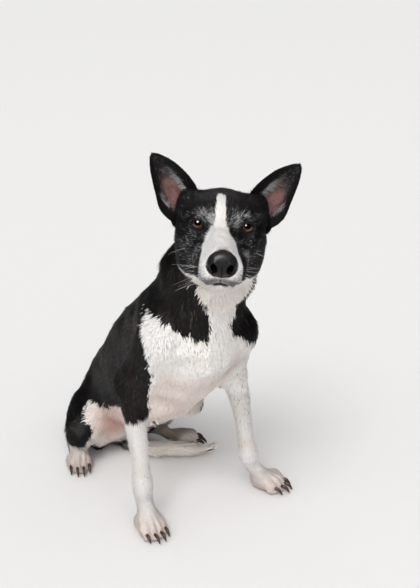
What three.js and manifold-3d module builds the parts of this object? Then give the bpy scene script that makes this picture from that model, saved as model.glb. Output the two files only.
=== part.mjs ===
// A sitting dog as a still, life-size model: a short-coated black and white shepherd mix with
// upright ears. Millimetres, +Z up, floor at z = 0. The dog faces -Y and its left side is +X.
// Flesh is one smooth field of rounded bones and muscles, meshed and parted with thin cuts.
import * as THREE from "three";
import { mergeVertices } from "three/addons/utils/BufferGeometryUtils.js";
import { LoftGeometry } from "three/addons/geometries/LoftGeometry.js";
import Module from "manifold-3d";

const wasm = await Module();
wasm.setup();

// ---------- driving dimensions, mm ----------
const GAP = 0.35; // clearance left at every cut
const EYE_RADIUS = 11;
const EYE_SPACING = 66; // between pupils
const PAW_WIDTH = 48;
const FOREPAW_LENGTH = 56; // from the heel pad's middle to the toe tips
const HINDPAW_LENGTH = 46;
const HINDPAW_WIDTH = 0.92 * PAW_WIDTH;
const FOREPAW_HEIGHT = 21; // of the knuckles' middle over the floor
const HINDPAW_HEIGHT = 18;
const PRESSED = 2; // how far the toes are pressed flat on the floor
const FIT = 3; // what lies against the flesh is cut out of it this much larger

// ---------- forms: signed distance fields ----------
const { sqrt, abs, min, max, hypot, PI, sin, cos } = Math;

// A bone or muscle that tapers from radius ra at a to radius rb at b, with round ends.
function taper(a, b) {
  const [ax, ay, az, ra] = a;
  const [bx, by, bz, rb] = b;
  const [dx, dy, dz] = [bx - ax, by - ay, bz - az];
  const long = dx * dx + dy * dy + dz * dz;
  const fall = ra - rb;
  const slope = long - fall * fall;
  return (x, y, z) => {
    const [px, py, pz] = [x - ax, y - ay, z - az];
    const along = px * dx + py * dy + pz * dz;
    const beyond = along - long;
    const [ox, oy, oz] = [px * long - dx * along, py * long - dy * along, pz * long - dz * along];
    const out = ox * ox + oy * oy + oz * oz;
    const k = Math.sign(fall) * fall * fall * out;
    if (Math.sign(beyond) * slope * beyond * beyond * long > k)
      return sqrt(out + beyond * beyond * long) / long - rb;
    if (Math.sign(along) * slope * along * along * long < k)
      return sqrt(out + along * along * long) / long - ra;
    return (sqrt((out * slope) / long) + along * fall) / long - ra;
  };
}

// A run of tapers through points [x, y, z, radius].
function limb(...points) {
  const bones = points.slice(1).map((p, i) => taper(points[i], p));
  return (x, y, z) => {
    let d = Infinity;
    for (const bone of bones) d = min(d, bone(x, y, z));
    return d;
  };
}

function oval([cx, cy, cz], [rx, ry, rz]) {
  return (x, y, z) => {
    const [px, py, pz] = [(x - cx) / rx, (y - cy) / ry, (z - cz) / rz];
    const k = hypot(px, py, pz);
    return k < 1e-6 ? -min(rx, ry, rz) : (k * (k - 1)) / hypot(px / rx, py / ry, pz / rz);
  };
}

// Forms run together with a fillet of size k.
function blend(k, ...forms) {
  return (x, y, z) => {
    let d = forms[0](x, y, z);
    for (let i = 1; i < forms.length; i++) {
      const e = forms[i](x, y, z);
      const h = max(k - abs(d - e), 0) / k;
      d = min(d, e) - (h * h * k) / 4;
    }
    return d;
  };
}

// The form with others hollowed out of it, with a soft edge of size k.
function hollow(k, form, ...others) {
  return (x, y, z) => {
    let d = form(x, y, z);
    for (const other of others) {
      const e = -other(x, y, z);
      const h = max(k - abs(d - e), 0) / k;
      d = max(d, e) + (h * h * k) / 4;
    }
    return d;
  };
}

const mirrored = (form) => (x, y, z) => form(-x, y, z);
const pair = (k, form) => blend(k, form, mirrored(form));
const wider = (share, form) => (x, y, z) => form(x / share, y, z) * min(share, 1);
const grown = (by, form) => (x, y, z) => form(x, y, z) - by;

// A form made in its own place, put where the matrix says.
function placed(matrix, form) {
  const e = matrix.clone().invert().elements;
  return (x, y, z) =>
    form(
      e[0] * x + e[4] * y + e[8] * z + e[12],
      e[1] * x + e[5] * y + e[9] * z + e[13],
      e[2] * x + e[6] * y + e[10] * z + e[14],
    );
}

function pose([x, y, z], yaw, pitch = 0, roll = 0) {
  const turn = new THREE.Euler(...[pitch, roll, yaw].map(THREE.MathUtils.degToRad), "ZXY");
  return new THREE.Matrix4().makeRotationFromEuler(turn).setPosition(x, y, z);
}

// ---------- meshing ----------
const JUST_INSIDE = 0.05; // share of a cell
const PROBE = 0.3; // step for the field's slope, mm
const FLAT_FIELD = 0.05; // square of the slope under which a point is left where it is
const NEWTON_STEPS = 3;
const WELD = 1e-3; // points nearer than this are one, mm

// The surface where the form is zero, one point to each cell that it passes through.
function surfaceOf(form, low, high, cell) {
  const count = [0, 1, 2].map((i) => Math.ceil((high[i] - low[i]) / cell) + 1);
  const step = [1, count[0], count[0] * count[1]];
  const at = (i, n) => low[i] + n * cell;
  const inner = (n, i) => n > 0 && n < count[i] - 1;
  const value = new Float32Array(count[0] * count[1] * count[2]);
  for (let k = 0, s = 0; k < count[2]; k++)
    for (let j = 0; j < count[1]; j++)
      for (let i = 0; i < count[0]; i++, s++)
        value[s] = [i, j, k].every(inner) ? form(at(0, i), at(1, j), at(2, k)) : cell;
  untangle(value, step, cell);

  const points = [];
  const pointOf = new Map();
  const corners = [0, 1, 2, 3, 4, 5, 6, 7].map((c) => [c & 1, (c >> 1) & 1, c >> 2]);
  const edges = corners.flatMap((a, i) =>
    corners.map((b, j) => [i, j]).filter(([, j]) => j > i && [1, 2, 4].includes(i ^ j)),
  );
  for (let k = 0; k < count[2] - 1; k++)
    for (let j = 0; j < count[1] - 1; j++)
      for (let i = 0; i < count[0] - 1; i++) {
        const s = i + j * step[1] + k * step[2];
        const v = corners.map(([a, b, c]) => value[s + a + b * step[1] + c * step[2]]);
        const sum = [0, 0, 0];
        let crossings = 0;
        for (const [p, q] of edges) {
          if (v[p] < 0 === v[q] < 0) continue;
          const t = v[p] / (v[p] - v[q]);
          for (let m = 0; m < 3; m++) sum[m] += corners[p][m] + t * (corners[q][m] - corners[p][m]);
          crossings++;
        }
        if (!crossings) continue;
        const cellAt = [i, j, k];
        let p = sum.map((x, m) => at(m, cellAt[m] + x / crossings));
        if (cellAt.every((n, m) => inner(n, m) && inner(n + 1, m))) p = onSurface(form, p, cell);
        pointOf.set(s, points.length / 3);
        points.push(...p);
      }

  const faces = [];
  for (let k = 0; k < count[2] - 1; k++)
    for (let j = 0; j < count[1] - 1; j++)
      for (let i = 0; i < count[0] - 1; i++) {
        const s = i + j * step[1] + k * step[2];
        for (let m = 0; m < 3; m++) {
          const inside = value[s] < 0;
          if (inside === value[s + step[m]] < 0) continue;
          const [u, w] = [step[(m + 1) % 3], step[(m + 2) % 3]];
          const ring = [s, s - u, s - u - w, s - w].map((c) => pointOf.get(c));
          if (!inside) ring.reverse();
          faces.push(...split(ring, points));
        }
      }
  const geometry = new THREE.BufferGeometry();
  geometry.setAttribute("position", new THREE.Float32BufferAttribute(points, 3));
  geometry.setIndex(faces);
  return geometry;
}

// Where a face of the grid is inside at two opposite corners only, its nearer outside corner is
// filled, so that no four faces meet along one edge.
function untangle(value, step, cell) {
  const sides = [[step[0], step[1]], [step[1], step[2]], [step[2], step[0]]];
  for (let changed = true; changed; ) {
    changed = false;
    for (let s = 0; s < value.length - step[2] - step[1]; s++)
      for (const [u, w] of sides) {
        const ring = [s, s + u, s + u + w, s + w];
        const [a, b, c, d] = ring.map((n) => value[n] < 0);
        if (a !== c || b !== d || a === b) continue;
        const [p, q] = a ? [ring[1], ring[3]] : [ring[0], ring[2]];
        value[value[p] < value[q] ? p : q] = -JUST_INSIDE * cell;
        changed = true;
      }
  }
}

// Newton's steps down the field's slope, held to the point's own cell.
function onSurface(form, start, cell) {
  let p = start;
  for (let n = 0; n < NEWTON_STEPS; n++) {
    const [x, y, z] = p;
    const d = form(x, y, z);
    const ahead = [form(x + PROBE, y, z), form(x, y + PROBE, z), form(x, y, z + PROBE)];
    const g = ahead.map((v) => (v - d) / PROBE);
    const steep = g[0] * g[0] + g[1] * g[1] + g[2] * g[2];
    if (steep < FLAT_FIELD) break;
    p = p.map((v, i) => {
      const next = v - (d * g[i]) / steep;
      return max(start[i] - cell / 2, min(start[i] + cell / 2, next));
    });
  }
  return p;
}

// A four-sided ring as two triangles across its shorter diagonal.
function split([a, b, c, d], points) {
  const far = (p, q) => hypot(...[0, 1, 2].map((i) => points[3 * p + i] - points[3 * q + i]));
  return far(a, c) < far(b, d) ? [a, b, c, a, c, d] : [a, b, d, b, c, d];
}

// ---------- solids ----------
function solidOf(geometry, weld = true) {
  const bare = new THREE.BufferGeometry().setIndex(geometry.index);
  bare.setAttribute("position", geometry.getAttribute("position"));
  const merged = weld ? mergeVertices(bare, WELD) : bare;
  return new wasm.Manifold(
    new wasm.Mesh({
      numProp: 3,
      vertProperties: merged.attributes.position.array,
      triVerts: new Uint32Array(merged.index.array),
    }),
  );
}

function geometryOf(solid) {
  const { vertProperties, triVerts } = solid.getMesh();
  const geometry = new THREE.BufferGeometry();
  geometry.setAttribute("position", new THREE.BufferAttribute(vertProperties, 3));
  geometry.setIndex(new THREE.BufferAttribute(triVerts, 1));
  return geometry;
}

const largest = (solid) => solid.decompose().sort((a, b) => b.volume() - a.volume())[0];
const flesh = (form, low, high, cell) => solidOf(surfaceOf(form, low, high, cell), false);

// A box to cut with: its middle, its size, how it is turned, and how far it is grown.
function block({ at, size, turn = [0, 0, 0] }, by = 0) {
  const box = new THREE.BoxGeometry(...size.map((s) => s + 2 * by));
  return solidOf(box.applyMatrix4(pose(at, ...turn)));
}

// ---------- head, in its own place: middle of the eyes at 0, muzzle along -y ----------
const HEAD_POSE = pose([-18, -148, 552], -27.8, -17, 4.5);
const EYE_PLACE = [EYE_SPACING / 2 - 1, 1, -1];

const skull = blend(
  20,
  oval([0, 56, 4], [50, 60, 44.5]), // cranium
  oval([0, 16, 8], [36, 34, 31]), // forehead
  oval([0, 98, 4], [32, 26, 28]), // occiput
  pair(6, oval([46, 48, 20], [19, 22, 24])), // ear bases
);
const cheekbone = limb([38, -4, -19, 12], [49, 26, -16, 13], [46, 54, -8, 14]);
const cheeks = pair(10, blend(18, cheekbone, oval([34, 32, -40], [27, 38, 36])));
const brows = pair(4, oval([27, 3, 12], [15, 13, 8]));
const muzzle = blend(
  9,
  limb([0, -4, -13, 21], [0, -50, -25, 18], [0, -82, -35, 15.5]),
  pair(8, limb([20, -10, -36, 21], [17, -46, -47, 19], [15, -75, -52, 17])),
  pair(6, limb([21, -20, -58, 13], [17.5, -67, -62, 13])), // lips
);
const jaw = limb([0, 20, -66, 25], [0, -36, -68, 18], [0, -71, -68, 10.5]);
const throat = oval([2, 38, -56], [44, 44, 38]);
const sockets = pair(2, oval([24, -23, -8], [8, 13, 8]));
const headShape = hollow(
  9,
  blend(12, blend(16, blend(20, skull, throat), cheeks), brows, blend(8, muzzle, jaw)),
  sockets,
);
const head = placed(HEAD_POSE, headShape);

const noseShape = hollow(
  3,
  blend(6, oval([0, -91, -42], [20.5, 11, 14]), oval([0, -92, -53], [9, 8, 9])),
  pair(0.1, oval([9, -103, -46], [4.2, 6, 5])), // nostrils
  oval([0, -105, -54], [1.4, 6, 12]), // groove
);

// ---------- trunk ----------
const chest = wider(
  0.78,
  limb(
    [2, -20, 340, 87],
    [3, 33, 296, 98],
    [3, 92, 234, 95],
    [2, 164, 172, 82],
    [0, 228, 116, 71],
    [0, 258, 88, 62],
  ),
);
const back = limb(
  [0, 105, 286, 59],
  [0, 148, 243, 59],
  [0, 186, 205, 54],
  [-2, 216, 179, 50],
  [-3, 255, 148, 45],
  [-5, 270, 121, 44],
);
const neck = limb([2, -10, 366, 66], [8, -40, 424, 57], [14, -66, 478, 56.5], [20, -86, 512, 49]);
const ruff = limb([-22, -44, 452, 36], [2, -92, 436, 30], [44, -76, 436, 34], [46, -42, 398, 27]);
const shoulders = blend(
  10,
  limb([-30, 28, 358, 26], [-54, -48, 352, 33]),
  limb([36, 26, 360, 30], [57, -58, 342, 32]),
);
const pelvis = pair(20, oval([30, 278, 62], [42, 48, 50]));
const flankFold = limb([40, 138, 176, 36], [98, 170, 108, 23]); // of skin, from belly to left knee
const barrel = blend(12, chest, back);
const trunk = blend(28, barrel, blend(20, neck, ruff), shoulders, pelvis, flankFold);

// ---------- legs: joints as [x, y, z, radius] ----------
const FORE = {
  right: {
    arm: [[-59, -44, 356, 34], [-78, 20, 256, 26]],
    forearm: [[-80, 26, 250, 24], [-79, 16, 214, 20], [-77, 4, 150, 16.5], [-76, -4, 84, 16.5]],
    pastern: [[-76, -4, 84, 16.5], [-73, -2, 58, 15], [-70, -8, 32, 15]],
    paw: pose([-73, 8, 0], 5),
  },
  left: {
    arm: [[58, -56, 342, 32], [88, 4, 240, 23]],
    forearm: [[90, 6, 234, 22], [101, 4, 196, 19], [113, 6, 140, 15.5], [122, 7, 78, 15.5]],
    pastern: [[122, 7, 78, 15.5], [132, 11, 54, 14.5], [146, 12, 30, 14.5]],
    paw: pose([149, 24, 0], 35),
  },
};
const HIND = {
  right: {
    thigh: [[-44, 252, 74, 50], [-86, 214, 72, 29]],
    shank: [[-86, 214, 64, 26], [-68, 296, 32, 16]],
    foot: [[-68, 298, 25, 15], [-84, 246, 22, 15], [-90, 215, 20, 15]],
    turn: -18,
    paw: pose([-86, 232, 0], -18),
  },
  left: {
    thigh: [[44, 256, 76, 50], [106, 178, 94, 28]],
    shank: [[108, 180, 86, 25], [50, 262, 29, 16]],
    foot: [[50, 262, 22, 14], [80, 226, 17, 13], [100, 205, 14, 12]],
    turn: 46,
    paw: pose([96, 210, 0], 46),
  },
};

// A paw from its heel pad forward along -y: a pad, four toes with raised knuckles.
const TOES = [-1.5, -0.5, 0.5, 1.5]; // places across the paw, in toe spacings
const TOE_SPACING = 1 / 4.2; // as a share of the paw's width
const TOE_RADIUS = 0.19; // as a share of the paw's width
const OUTER_TOE_SHORTER = 8;
const KNUCKLE_BEHIND_TIP = 22;
const TOE_ROOT = { y: -20, spread: 0.6 };
const PAD = { y: -14, halfWidth: 0.4, halfLength: 26, high: 0.62 }; // shares of width and height
const toePlace = (toe, width, long) => [
  toe * width * TOE_SPACING,
  (abs(toe) > 1 ? OUTER_TOE_SHORTER : 0) - long,
];
function pawShape(width, long, high) {
  const toes = TOES.map((toe) => {
    const [x, tip] = toePlace(toe, width, long);
    const r = width * TOE_RADIUS;
    const root = [x * TOE_ROOT.spread, TOE_ROOT.y, high, r];
    const knuckle = [x, tip + KNUCKLE_BEHIND_TIP, high, r];
    return limb(root, knuckle, [x, tip + r, r - PRESSED, r]);
  });
  const middle = PAD.high * high;
  const halfHeight = middle + 2 * PRESSED; // reaches just under the floor
  const pad = oval([0, PAD.y, middle], [width * PAD.halfWidth, PAD.halfLength, halfHeight]);
  return blend(8, pad, blend(3.5, ...toes));
}

const foreleg = ({ arm, forearm, pastern, paw }) =>
  blend(
    12,
    blend(20, limb(...arm), limb(...forearm)),
    limb(...pastern),
    placed(paw, pawShape(PAW_WIDTH, FOREPAW_LENGTH, FOREPAW_HEIGHT)),
  );
const hindleg = ({ shank, foot, paw }) =>
  blend(
    12,
    limb(...shank),
    limb(...foot),
    placed(paw, pawShape(HINDPAW_WIDTH, HINDPAW_LENGTH, HINDPAW_HEIGHT)),
  );
const hindlegs = { right: hindleg(HIND.right), left: hindleg(HIND.left) };
const thighs = blend(
  24,
  limb(...HIND.right.thigh),
  oval([-36, 262, 44], [42, 34, 46]),
  limb(...HIND.left.thigh),
  oval([42, 262, 44], [42, 40, 46]),
);

// ---------- tail: from the croup down, under the body and out to the left ----------
const tailRoot = limb([0, 306, 84, 30], [0, 338, 60, 21], [0, 352, 40, 18]);
const tailRest = limb(
  [0, 352, 40, 18],
  [0, 340, 20, 16],
  [0, 296, 17, 16],
  [8, 235, 16, 16],
  [36, 190, 16, 17],
  [80, 163, 14, 15],
  [118, 149, 11, 11],
  [146, 142, 7, 7],
);

// ---------- the whole body, but for what lies against it ----------
const body = blend(
  20,
  blend(16, blend(20, blend(24, trunk, thighs), tailRoot), head),
  foreleg(FORE.right),
  foreleg(FORE.left),
);

// ---------- ears: lofts between an inner and an outer edge, cupped towards the front ----------
// Both edges as [x, y, z] from the root to the tip, in the head's own place.
const EAR_INNER = [[30, 44, 24], [35, 41, 45], [49, 42, 62], [68, 46, 78], [88, 50, 87], [102, 52, 90]];
const EAR_OUTER = [[52, 46, -24], [69, 45, -9], [87, 49, 11], [95, 50, 33], [102, 51, 58], [107, 52, 82]];
const EAR_ROWS = 8;
const EAR_ACROSS = 5;
const EAR_CUP = 0.42; // depth of the cup at the root as a share of the ear's width
const EAR_TIP = 0.985; // the last row's place along the edges, just short of where they meet
const EAR_EDGE = 2.2; // thickness at the tip, mm, and how much thicker the root is
const EAR_ROOT_EXTRA = 5;
const EAR_CUP_LOSS = 0.35; // share of the cup lost by the tip
const EAR_CUP_POWER = 0.8; // under 1 the hollow is wide and flat
const EAR_BEHIND = 0.4; // share of the thickness that lies behind the cup's surface
function earLoft(side) {
  const edge = (points) => new THREE.CatmullRomCurve3(points.map((p) => new THREE.Vector3(...p)));
  const [inner, outer] = [edge(EAR_INNER), edge(EAR_OUTER)];
  const sections = [];
  for (let i = 0; i < EAR_ROWS; i++) {
    const t = (i / (EAR_ROWS - 1)) * EAR_TIP;
    const [m, l] = [inner.getPoint(t), outer.getPoint(t)];
    const deep = EAR_CUP * m.distanceTo(l) * (1 - EAR_CUP_LOSS * t);
    const thick = EAR_EDGE + EAR_ROOT_EXTRA * (1 - t);
    const arc = (depth, k) => {
      const u = k / EAR_ACROSS;
      const p = m.clone().lerp(l, u);
      p.y += depth * sin(PI * u) ** EAR_CUP_POWER;
      return p;
    };
    const steps = Array.from({ length: EAR_ACROSS - 1 }, (_, k) => k + 1);
    const behind = EAR_BEHIND * thick;
    const front = steps.map((k) => arc(max(deep - thick, -behind), k));
    const back = steps.map((k) => arc(deep + behind, EAR_ACROSS - k));
    const section = [m, ...front, l, ...back];
    sections.push(side < 0 ? section.map((p) => p.setX(-p.x)).reverse() : section);
  }
  return new LoftGeometry(sections, { closed: true, capStart: true, capEnd: true });
}

// ---------- claws: curved cones out of each toe ----------
// Points along the claw as [y forward, z up, radius] in the plane of the toe.
const CLAW = [[8, 13, 2.9], [1, 13.5, 3.1], [-4.5, 10, 2.6], [-8, 4, 1]];
const CLAW_SIDES = 6;
const CLAW_HEIGHT = 1.15; // a claw's height over its width
function clawLoft(matrix, by = 0) {
  const last = CLAW.length - 1;
  const sections = CLAW.map(([y, z, r], i) => {
    const [before, after] = [CLAW[max(i - 1, 0)], CLAW[min(i + 1, last)]];
    const slope = Math.atan2(after[1] - before[1], after[0] - before[0]);
    const end = { 0: by, [last]: -by }[i] ?? 0;
    return Array.from({ length: CLAW_SIDES }, (_, k) => {
      const a = (2 * PI * k) / CLAW_SIDES;
      const across = cos(a) * (r + by);
      const high = CLAW_HEIGHT * sin(a) * (r + by);
      const point = new THREE.Vector3(across, y + end + high * sin(slope), z - high * cos(slope));
      return point.applyMatrix4(matrix);
    });
  });
  return new LoftGeometry(sections, { closed: true, capStart: true, capEnd: true });
}

// ---------- cutting blocks, in the order that they take their share of the body ----------
const inHead = (x, y, z) => new THREE.Vector3(x, y, z).applyMatrix4(HEAD_POSE).toArray();
const BLOCKS = {
  head: { at: inHead(0, -60, 10), size: [260, 276, 320], turn: [-27.8, -50, 4.5], cell: 13.2 },
  neck: { at: [0, -96, 520], size: [340, 400, 220], turn: [0, 26, 0], cell: 24 },
  forepaw_right: { at: [-70, -20, 0], size: [90, 150, 110], cell: 13 },
  forepaw_left: { at: [150, 0, 0], size: [110, 120, 92], cell: 13 },
  forearm_right: { at: [-90, 8, 120], size: [70, 90, 190], cell: 15 },
  forearm_left: { at: [109, 8, 115], size: [70, 90, 190], cell: 15 },
  upper_arm_right: { at: [-114, -10, 290], size: [106, 92, 230], turn: [0, 30, 0], cell: 21 },
  upper_arm_left: { at: [122, -26, 282], size: [106, 88, 230], turn: [0, 29, 0], cell: 21 },
  thigh_right: { at: [-104, 220, 60], size: [120, 300, 180], turn: [-20, 0, 0], cell: 32 },
  thigh_left: { at: [108, 214, 60], size: [120, 300, 180], turn: [26, 0, 0], cell: 32 },
  tail_base: { at: [0, 384, 60], size: [90, 110, 170], turn: [0, -30, 0], cell: 18 },
};
const TRUNK_CELL = 39;
const HIND_CELL = 16.4;
const TAIL_CELL = 14.4;
const NOSE_CELL = 7;
const FIELD = { low: [-190, -290, -30], high: [230, 420, 650] };
const HIND_BOX = [[-190, 90, -30], [230, 410, 160], HIND_CELL];
const TAIL_BOX = [[-60, 90, -30], [200, 400, 90], TAIL_CELL];
const HINDPAW_CUT = { at: [0, -60, 30], size: [90, 130, 90] }; // in the paw's own place
const TAIL_CUT = { at: [0, 300, 0], size: [200, 200, 300] };
const NOSE_MIDDLE = inHead(0, -88, -42);
const NOSE_REACH = 34;

// The body's flesh around one block.
function around({ at, size, cell }, by = 0) {
  const reach = hypot(...size) / 2 + 2 * cell;
  const low = at.map((v, i) => max(v - reach, FIELD.low[i]));
  const high = at.map((v, i) => min(v + reach, FIELD.high[i]));
  return flesh(grown(by, body), low, high, cell);
}

// ---------- nodes ----------
const pieces = {};
const floor = block({ at: [0, 150, -100], size: [900, 900, 200] });
const laid = [hindlegs.right, hindlegs.left].map((form) => flesh(grown(FIT, form), ...HIND_BOX));
laid.push(flesh(grown(FIT, tailRest), ...TAIL_BOX));
const taken = [];
function cleared(piece) {
  const others = [floor, ...taken.map((other) => block(other, GAP)), ...laid];
  return largest(others.reduce((left, other) => left.subtract(other), piece));
}
for (const [name, spec] of Object.entries(BLOCKS)) {
  pieces[name] = cleared(around(spec).intersect(block(spec)));
  taken.push(spec);
}
pieces.trunk = cleared(flesh(body, FIELD.low, FIELD.high, TRUNK_CELL));

const sides = { right: -1, left: 1 };
for (const side of Object.keys(sides)) {
  const { paw, turn } = HIND[side];
  const leg = flesh(hindlegs[side], ...HIND_BOX).subtract(floor);
  const toes = new THREE.Vector3(...HINDPAW_CUT.at).applyMatrix4(paw).toArray();
  const cut = { at: toes, size: HINDPAW_CUT.size, turn: [turn, 0, 0] };
  pieces["hindpaw_" + side] = largest(leg.intersect(block(cut)));
  pieces["shank_" + side] = largest(leg.subtract(block(cut, GAP)));
}

const tail = flesh(tailRest, ...TAIL_BOX).subtract(floor);
pieces.tail_middle = tail.intersect(block(TAIL_CUT));
pieces.tail_tip = tail.subtract(block(TAIL_CUT, GAP));

// The nose, eyes and ears. The head is let back around the first two, the ears stop at the head.
function noseSolid(by) {
  const low = NOSE_MIDDLE.map((v) => v - NOSE_REACH);
  const high = NOSE_MIDDLE.map((v) => v + NOSE_REACH);
  return flesh(placed(HEAD_POSE, grown(by, noseShape)), low, high, NOSE_CELL);
}
pieces.nose = noseSolid(0);
pieces.head = pieces.head.subtract(noseSolid(FIT));
for (const [side, sign] of Object.entries(sides)) {
  const place = pose([sign * EYE_PLACE[0], EYE_PLACE[1], EYE_PLACE[2]], 0).premultiply(HEAD_POSE);
  const ball = (radius) => solidOf(new THREE.IcosahedronGeometry(radius, 1).applyMatrix4(place));
  pieces["eye_" + side] = ball(EYE_RADIUS);
  pieces.head = pieces.head.subtract(ball(EYE_RADIUS + GAP));
}
pieces.head = largest(pieces.head);
const headGrown = around(BLOCKS.head, FIT);
for (const [side, sign] of Object.entries(sides)) {
  const ear = solidOf(earLoft(sign).applyMatrix4(HEAD_POSE));
  pieces["ear_" + side] = largest(ear.subtract(headGrown).subtract(pieces.head));
}

// Claws: four to a paw, numbered from the dog's right.
const paws = {
  forepaw_right: [FORE.right, FOREPAW_LENGTH, PAW_WIDTH],
  forepaw_left: [FORE.left, FOREPAW_LENGTH, PAW_WIDTH],
  hindpaw_right: [HIND.right, HINDPAW_LENGTH, HINDPAW_WIDTH],
  hindpaw_left: [HIND.left, HINDPAW_LENGTH, HINDPAW_WIDTH],
};
for (const [name, [{ paw }, long, width]] of Object.entries(paws))
  TOES.forEach((toe, i) => {
    const [x, tip] = toePlace(toe, width, long);
    const place = pose([x, tip, 0], 0).premultiply(paw);
    pieces[`claw_${name}_${i + 1}`] = solidOf(clawLoft(place));
    pieces[name] = pieces[name].subtract(solidOf(clawLoft(place, GAP)));
  });

// ---------- materials and the scene graph ----------
const coat = (color) => ({ color, roughness: 0.8 });
const BLACK = coat(0x1c1a1b);
const WHITE = coat(0xe6e0da);
const CREAM = coat(0xd8cdbf);
const FINISHES = [
  [/^(fore|hind)paw|^forearm/, WHITE],
  [/^(upper_arm|thigh|shank)_left|^tail_tip/, CREAM],
  [/^nose/, { color: 0x151414, roughness: 0.35 }],
  [/^eye/, { color: 0x4a2a14, roughness: 0.05 }],
  [/^claw/, { color: 0x3b2418, roughness: 0.4 }],
];
const dog = new THREE.Group();
for (const [name, solid] of Object.entries(pieces)) {
  const [, finish] = FINISHES.find(([names]) => names.test(name)) ?? [null, BLACK];
  const mesh = new THREE.Mesh(geometryOf(solid), new THREE.MeshStandardMaterial(finish));
  mesh.name = name;
  dog.add(mesh);
}

// The middle of the dog's own box, on the floor, is the origin.
const middle = new THREE.Box3().setFromObject(dog).getCenter(new THREE.Vector3());
dog.position.set(-middle.x, -middle.y, 0);
const model = new THREE.Group();
model.add(dog);
export default model;
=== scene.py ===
import math

import bmesh
import bpy
import numpy as np
from mathutils import Matrix, Vector
from mathutils.bvhtree import BVHTree


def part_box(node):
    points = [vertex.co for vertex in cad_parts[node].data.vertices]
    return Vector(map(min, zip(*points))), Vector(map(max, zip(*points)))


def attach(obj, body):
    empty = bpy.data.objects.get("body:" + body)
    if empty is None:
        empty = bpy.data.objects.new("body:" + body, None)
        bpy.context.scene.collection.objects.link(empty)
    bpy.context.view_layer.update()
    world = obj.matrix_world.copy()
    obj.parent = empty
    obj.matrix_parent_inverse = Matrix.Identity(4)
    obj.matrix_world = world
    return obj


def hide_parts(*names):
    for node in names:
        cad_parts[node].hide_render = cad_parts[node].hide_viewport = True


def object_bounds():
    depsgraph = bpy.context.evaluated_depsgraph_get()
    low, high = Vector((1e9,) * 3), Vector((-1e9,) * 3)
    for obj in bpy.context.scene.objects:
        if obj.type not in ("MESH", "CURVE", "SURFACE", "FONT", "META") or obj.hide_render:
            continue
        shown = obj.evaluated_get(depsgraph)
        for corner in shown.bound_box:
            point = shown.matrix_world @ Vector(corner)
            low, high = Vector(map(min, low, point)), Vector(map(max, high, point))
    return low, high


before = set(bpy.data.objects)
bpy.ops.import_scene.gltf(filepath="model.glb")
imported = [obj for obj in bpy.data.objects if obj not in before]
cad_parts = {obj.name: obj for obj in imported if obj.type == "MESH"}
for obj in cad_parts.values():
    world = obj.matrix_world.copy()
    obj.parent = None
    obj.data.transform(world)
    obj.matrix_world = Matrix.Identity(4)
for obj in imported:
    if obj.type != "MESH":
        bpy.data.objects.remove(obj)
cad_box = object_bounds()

MM = 0.001
SIDES = ("right", "left")
SIGN = {"right": -1.0, "left": 1.0}
LEG_PARTS = ("forepaw", "forearm", "upper_arm", "thigh", "shank", "hindpaw")
FLESH = ["head", "neck", "trunk", "tail_base", "tail_middle", "tail_tip"]
FLESH += [f"{part}_{side}" for part in LEG_PARTS for side in SIDES]
EARS = ["ear_right", "ear_left"]
HEAD_NODES = ["head", "nose"]
CLAWS = [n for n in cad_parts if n.startswith("claw_")]
PAWS = [f"{part}_{side}" for part in ("forepaw", "hindpaw") for side in SIDES]


def box_middle(node):
    low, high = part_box(node)
    return (low + high) / 2


def unit(v):
    return v / np.maximum(np.linalg.norm(v, axis=-1, keepdims=True), 1e-12)


# ---------- the head's own frame: the eyes' middle, muzzle along -y, in millimetres ----------
NOSE_DROP = math.atan2(41, 92)  # of the nose below the eyes, seen from the side
EYE_RADIUS = 11.0


class HeadFrame:
    def __init__(self):
        left, right, nose = (np.array(box_middle(n)) for n in ("eye_left", "eye_right", "nose"))
        middle = (left + right) / 2
        x = unit(left - right)
        ahead = nose - middle
        ahead = unit(ahead - x * (ahead @ x))
        down = np.cross(x, ahead)
        drop, fore = math.sin(NOSE_DROP), math.cos(NOSE_DROP)
        y = drop * down - fore * ahead
        z = -drop * ahead - fore * down
        self.axes = np.stack([x, y, z], 1)
        self.origin = middle - MM * y + MM * z  # 1 mm ahead of the eyes and 1 mm above them
        self.eyes = {"left": self.inside(left), "right": self.inside(right)}

    def inside(self, places):
        return (places - self.origin) @ self.axes / MM

    def outside(self, places):
        return self.origin + MM * (np.asarray(places, float) @ self.axes.T)

    def turn(self, directions):
        return np.asarray(directions, float) @ self.axes.T


HEAD = HeadFrame()


# ---------- camera, light and floor ----------
VIEW_AZIMUTH = math.radians(-29.13)
VIEW_ELEVATION = math.radians(23.61)
VIEW_ROLL = math.radians(0.2)
VIEW_DISTANCE = 1.75
LOOK_AT = Vector((-0.022, -0.111, 0.092))  # from the middle of the model's box
LENS = 73.5


def make_camera():
    middle = (Vector(cad_box[0]) + Vector(cad_box[1])) / 2
    turn = Matrix.Rotation(VIEW_AZIMUTH, 4, "Z")
    turn = turn @ Matrix.Rotation(math.pi / 2 - VIEW_ELEVATION, 4, "X")
    turn = turn @ Matrix.Rotation(VIEW_ROLL, 4, "Z")
    back = Matrix.Translation((0, 0, VIEW_DISTANCE))
    camera = bpy.data.objects.new("camera", bpy.data.cameras.new("camera"))
    camera.data.lens = LENS
    camera.data.clip_start = 0.05
    camera.matrix_world = Matrix.Translation(middle + LOOK_AT) @ turn @ back
    bpy.context.scene.collection.objects.link(camera)
    bpy.context.scene.camera = camera


make_camera()


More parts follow.
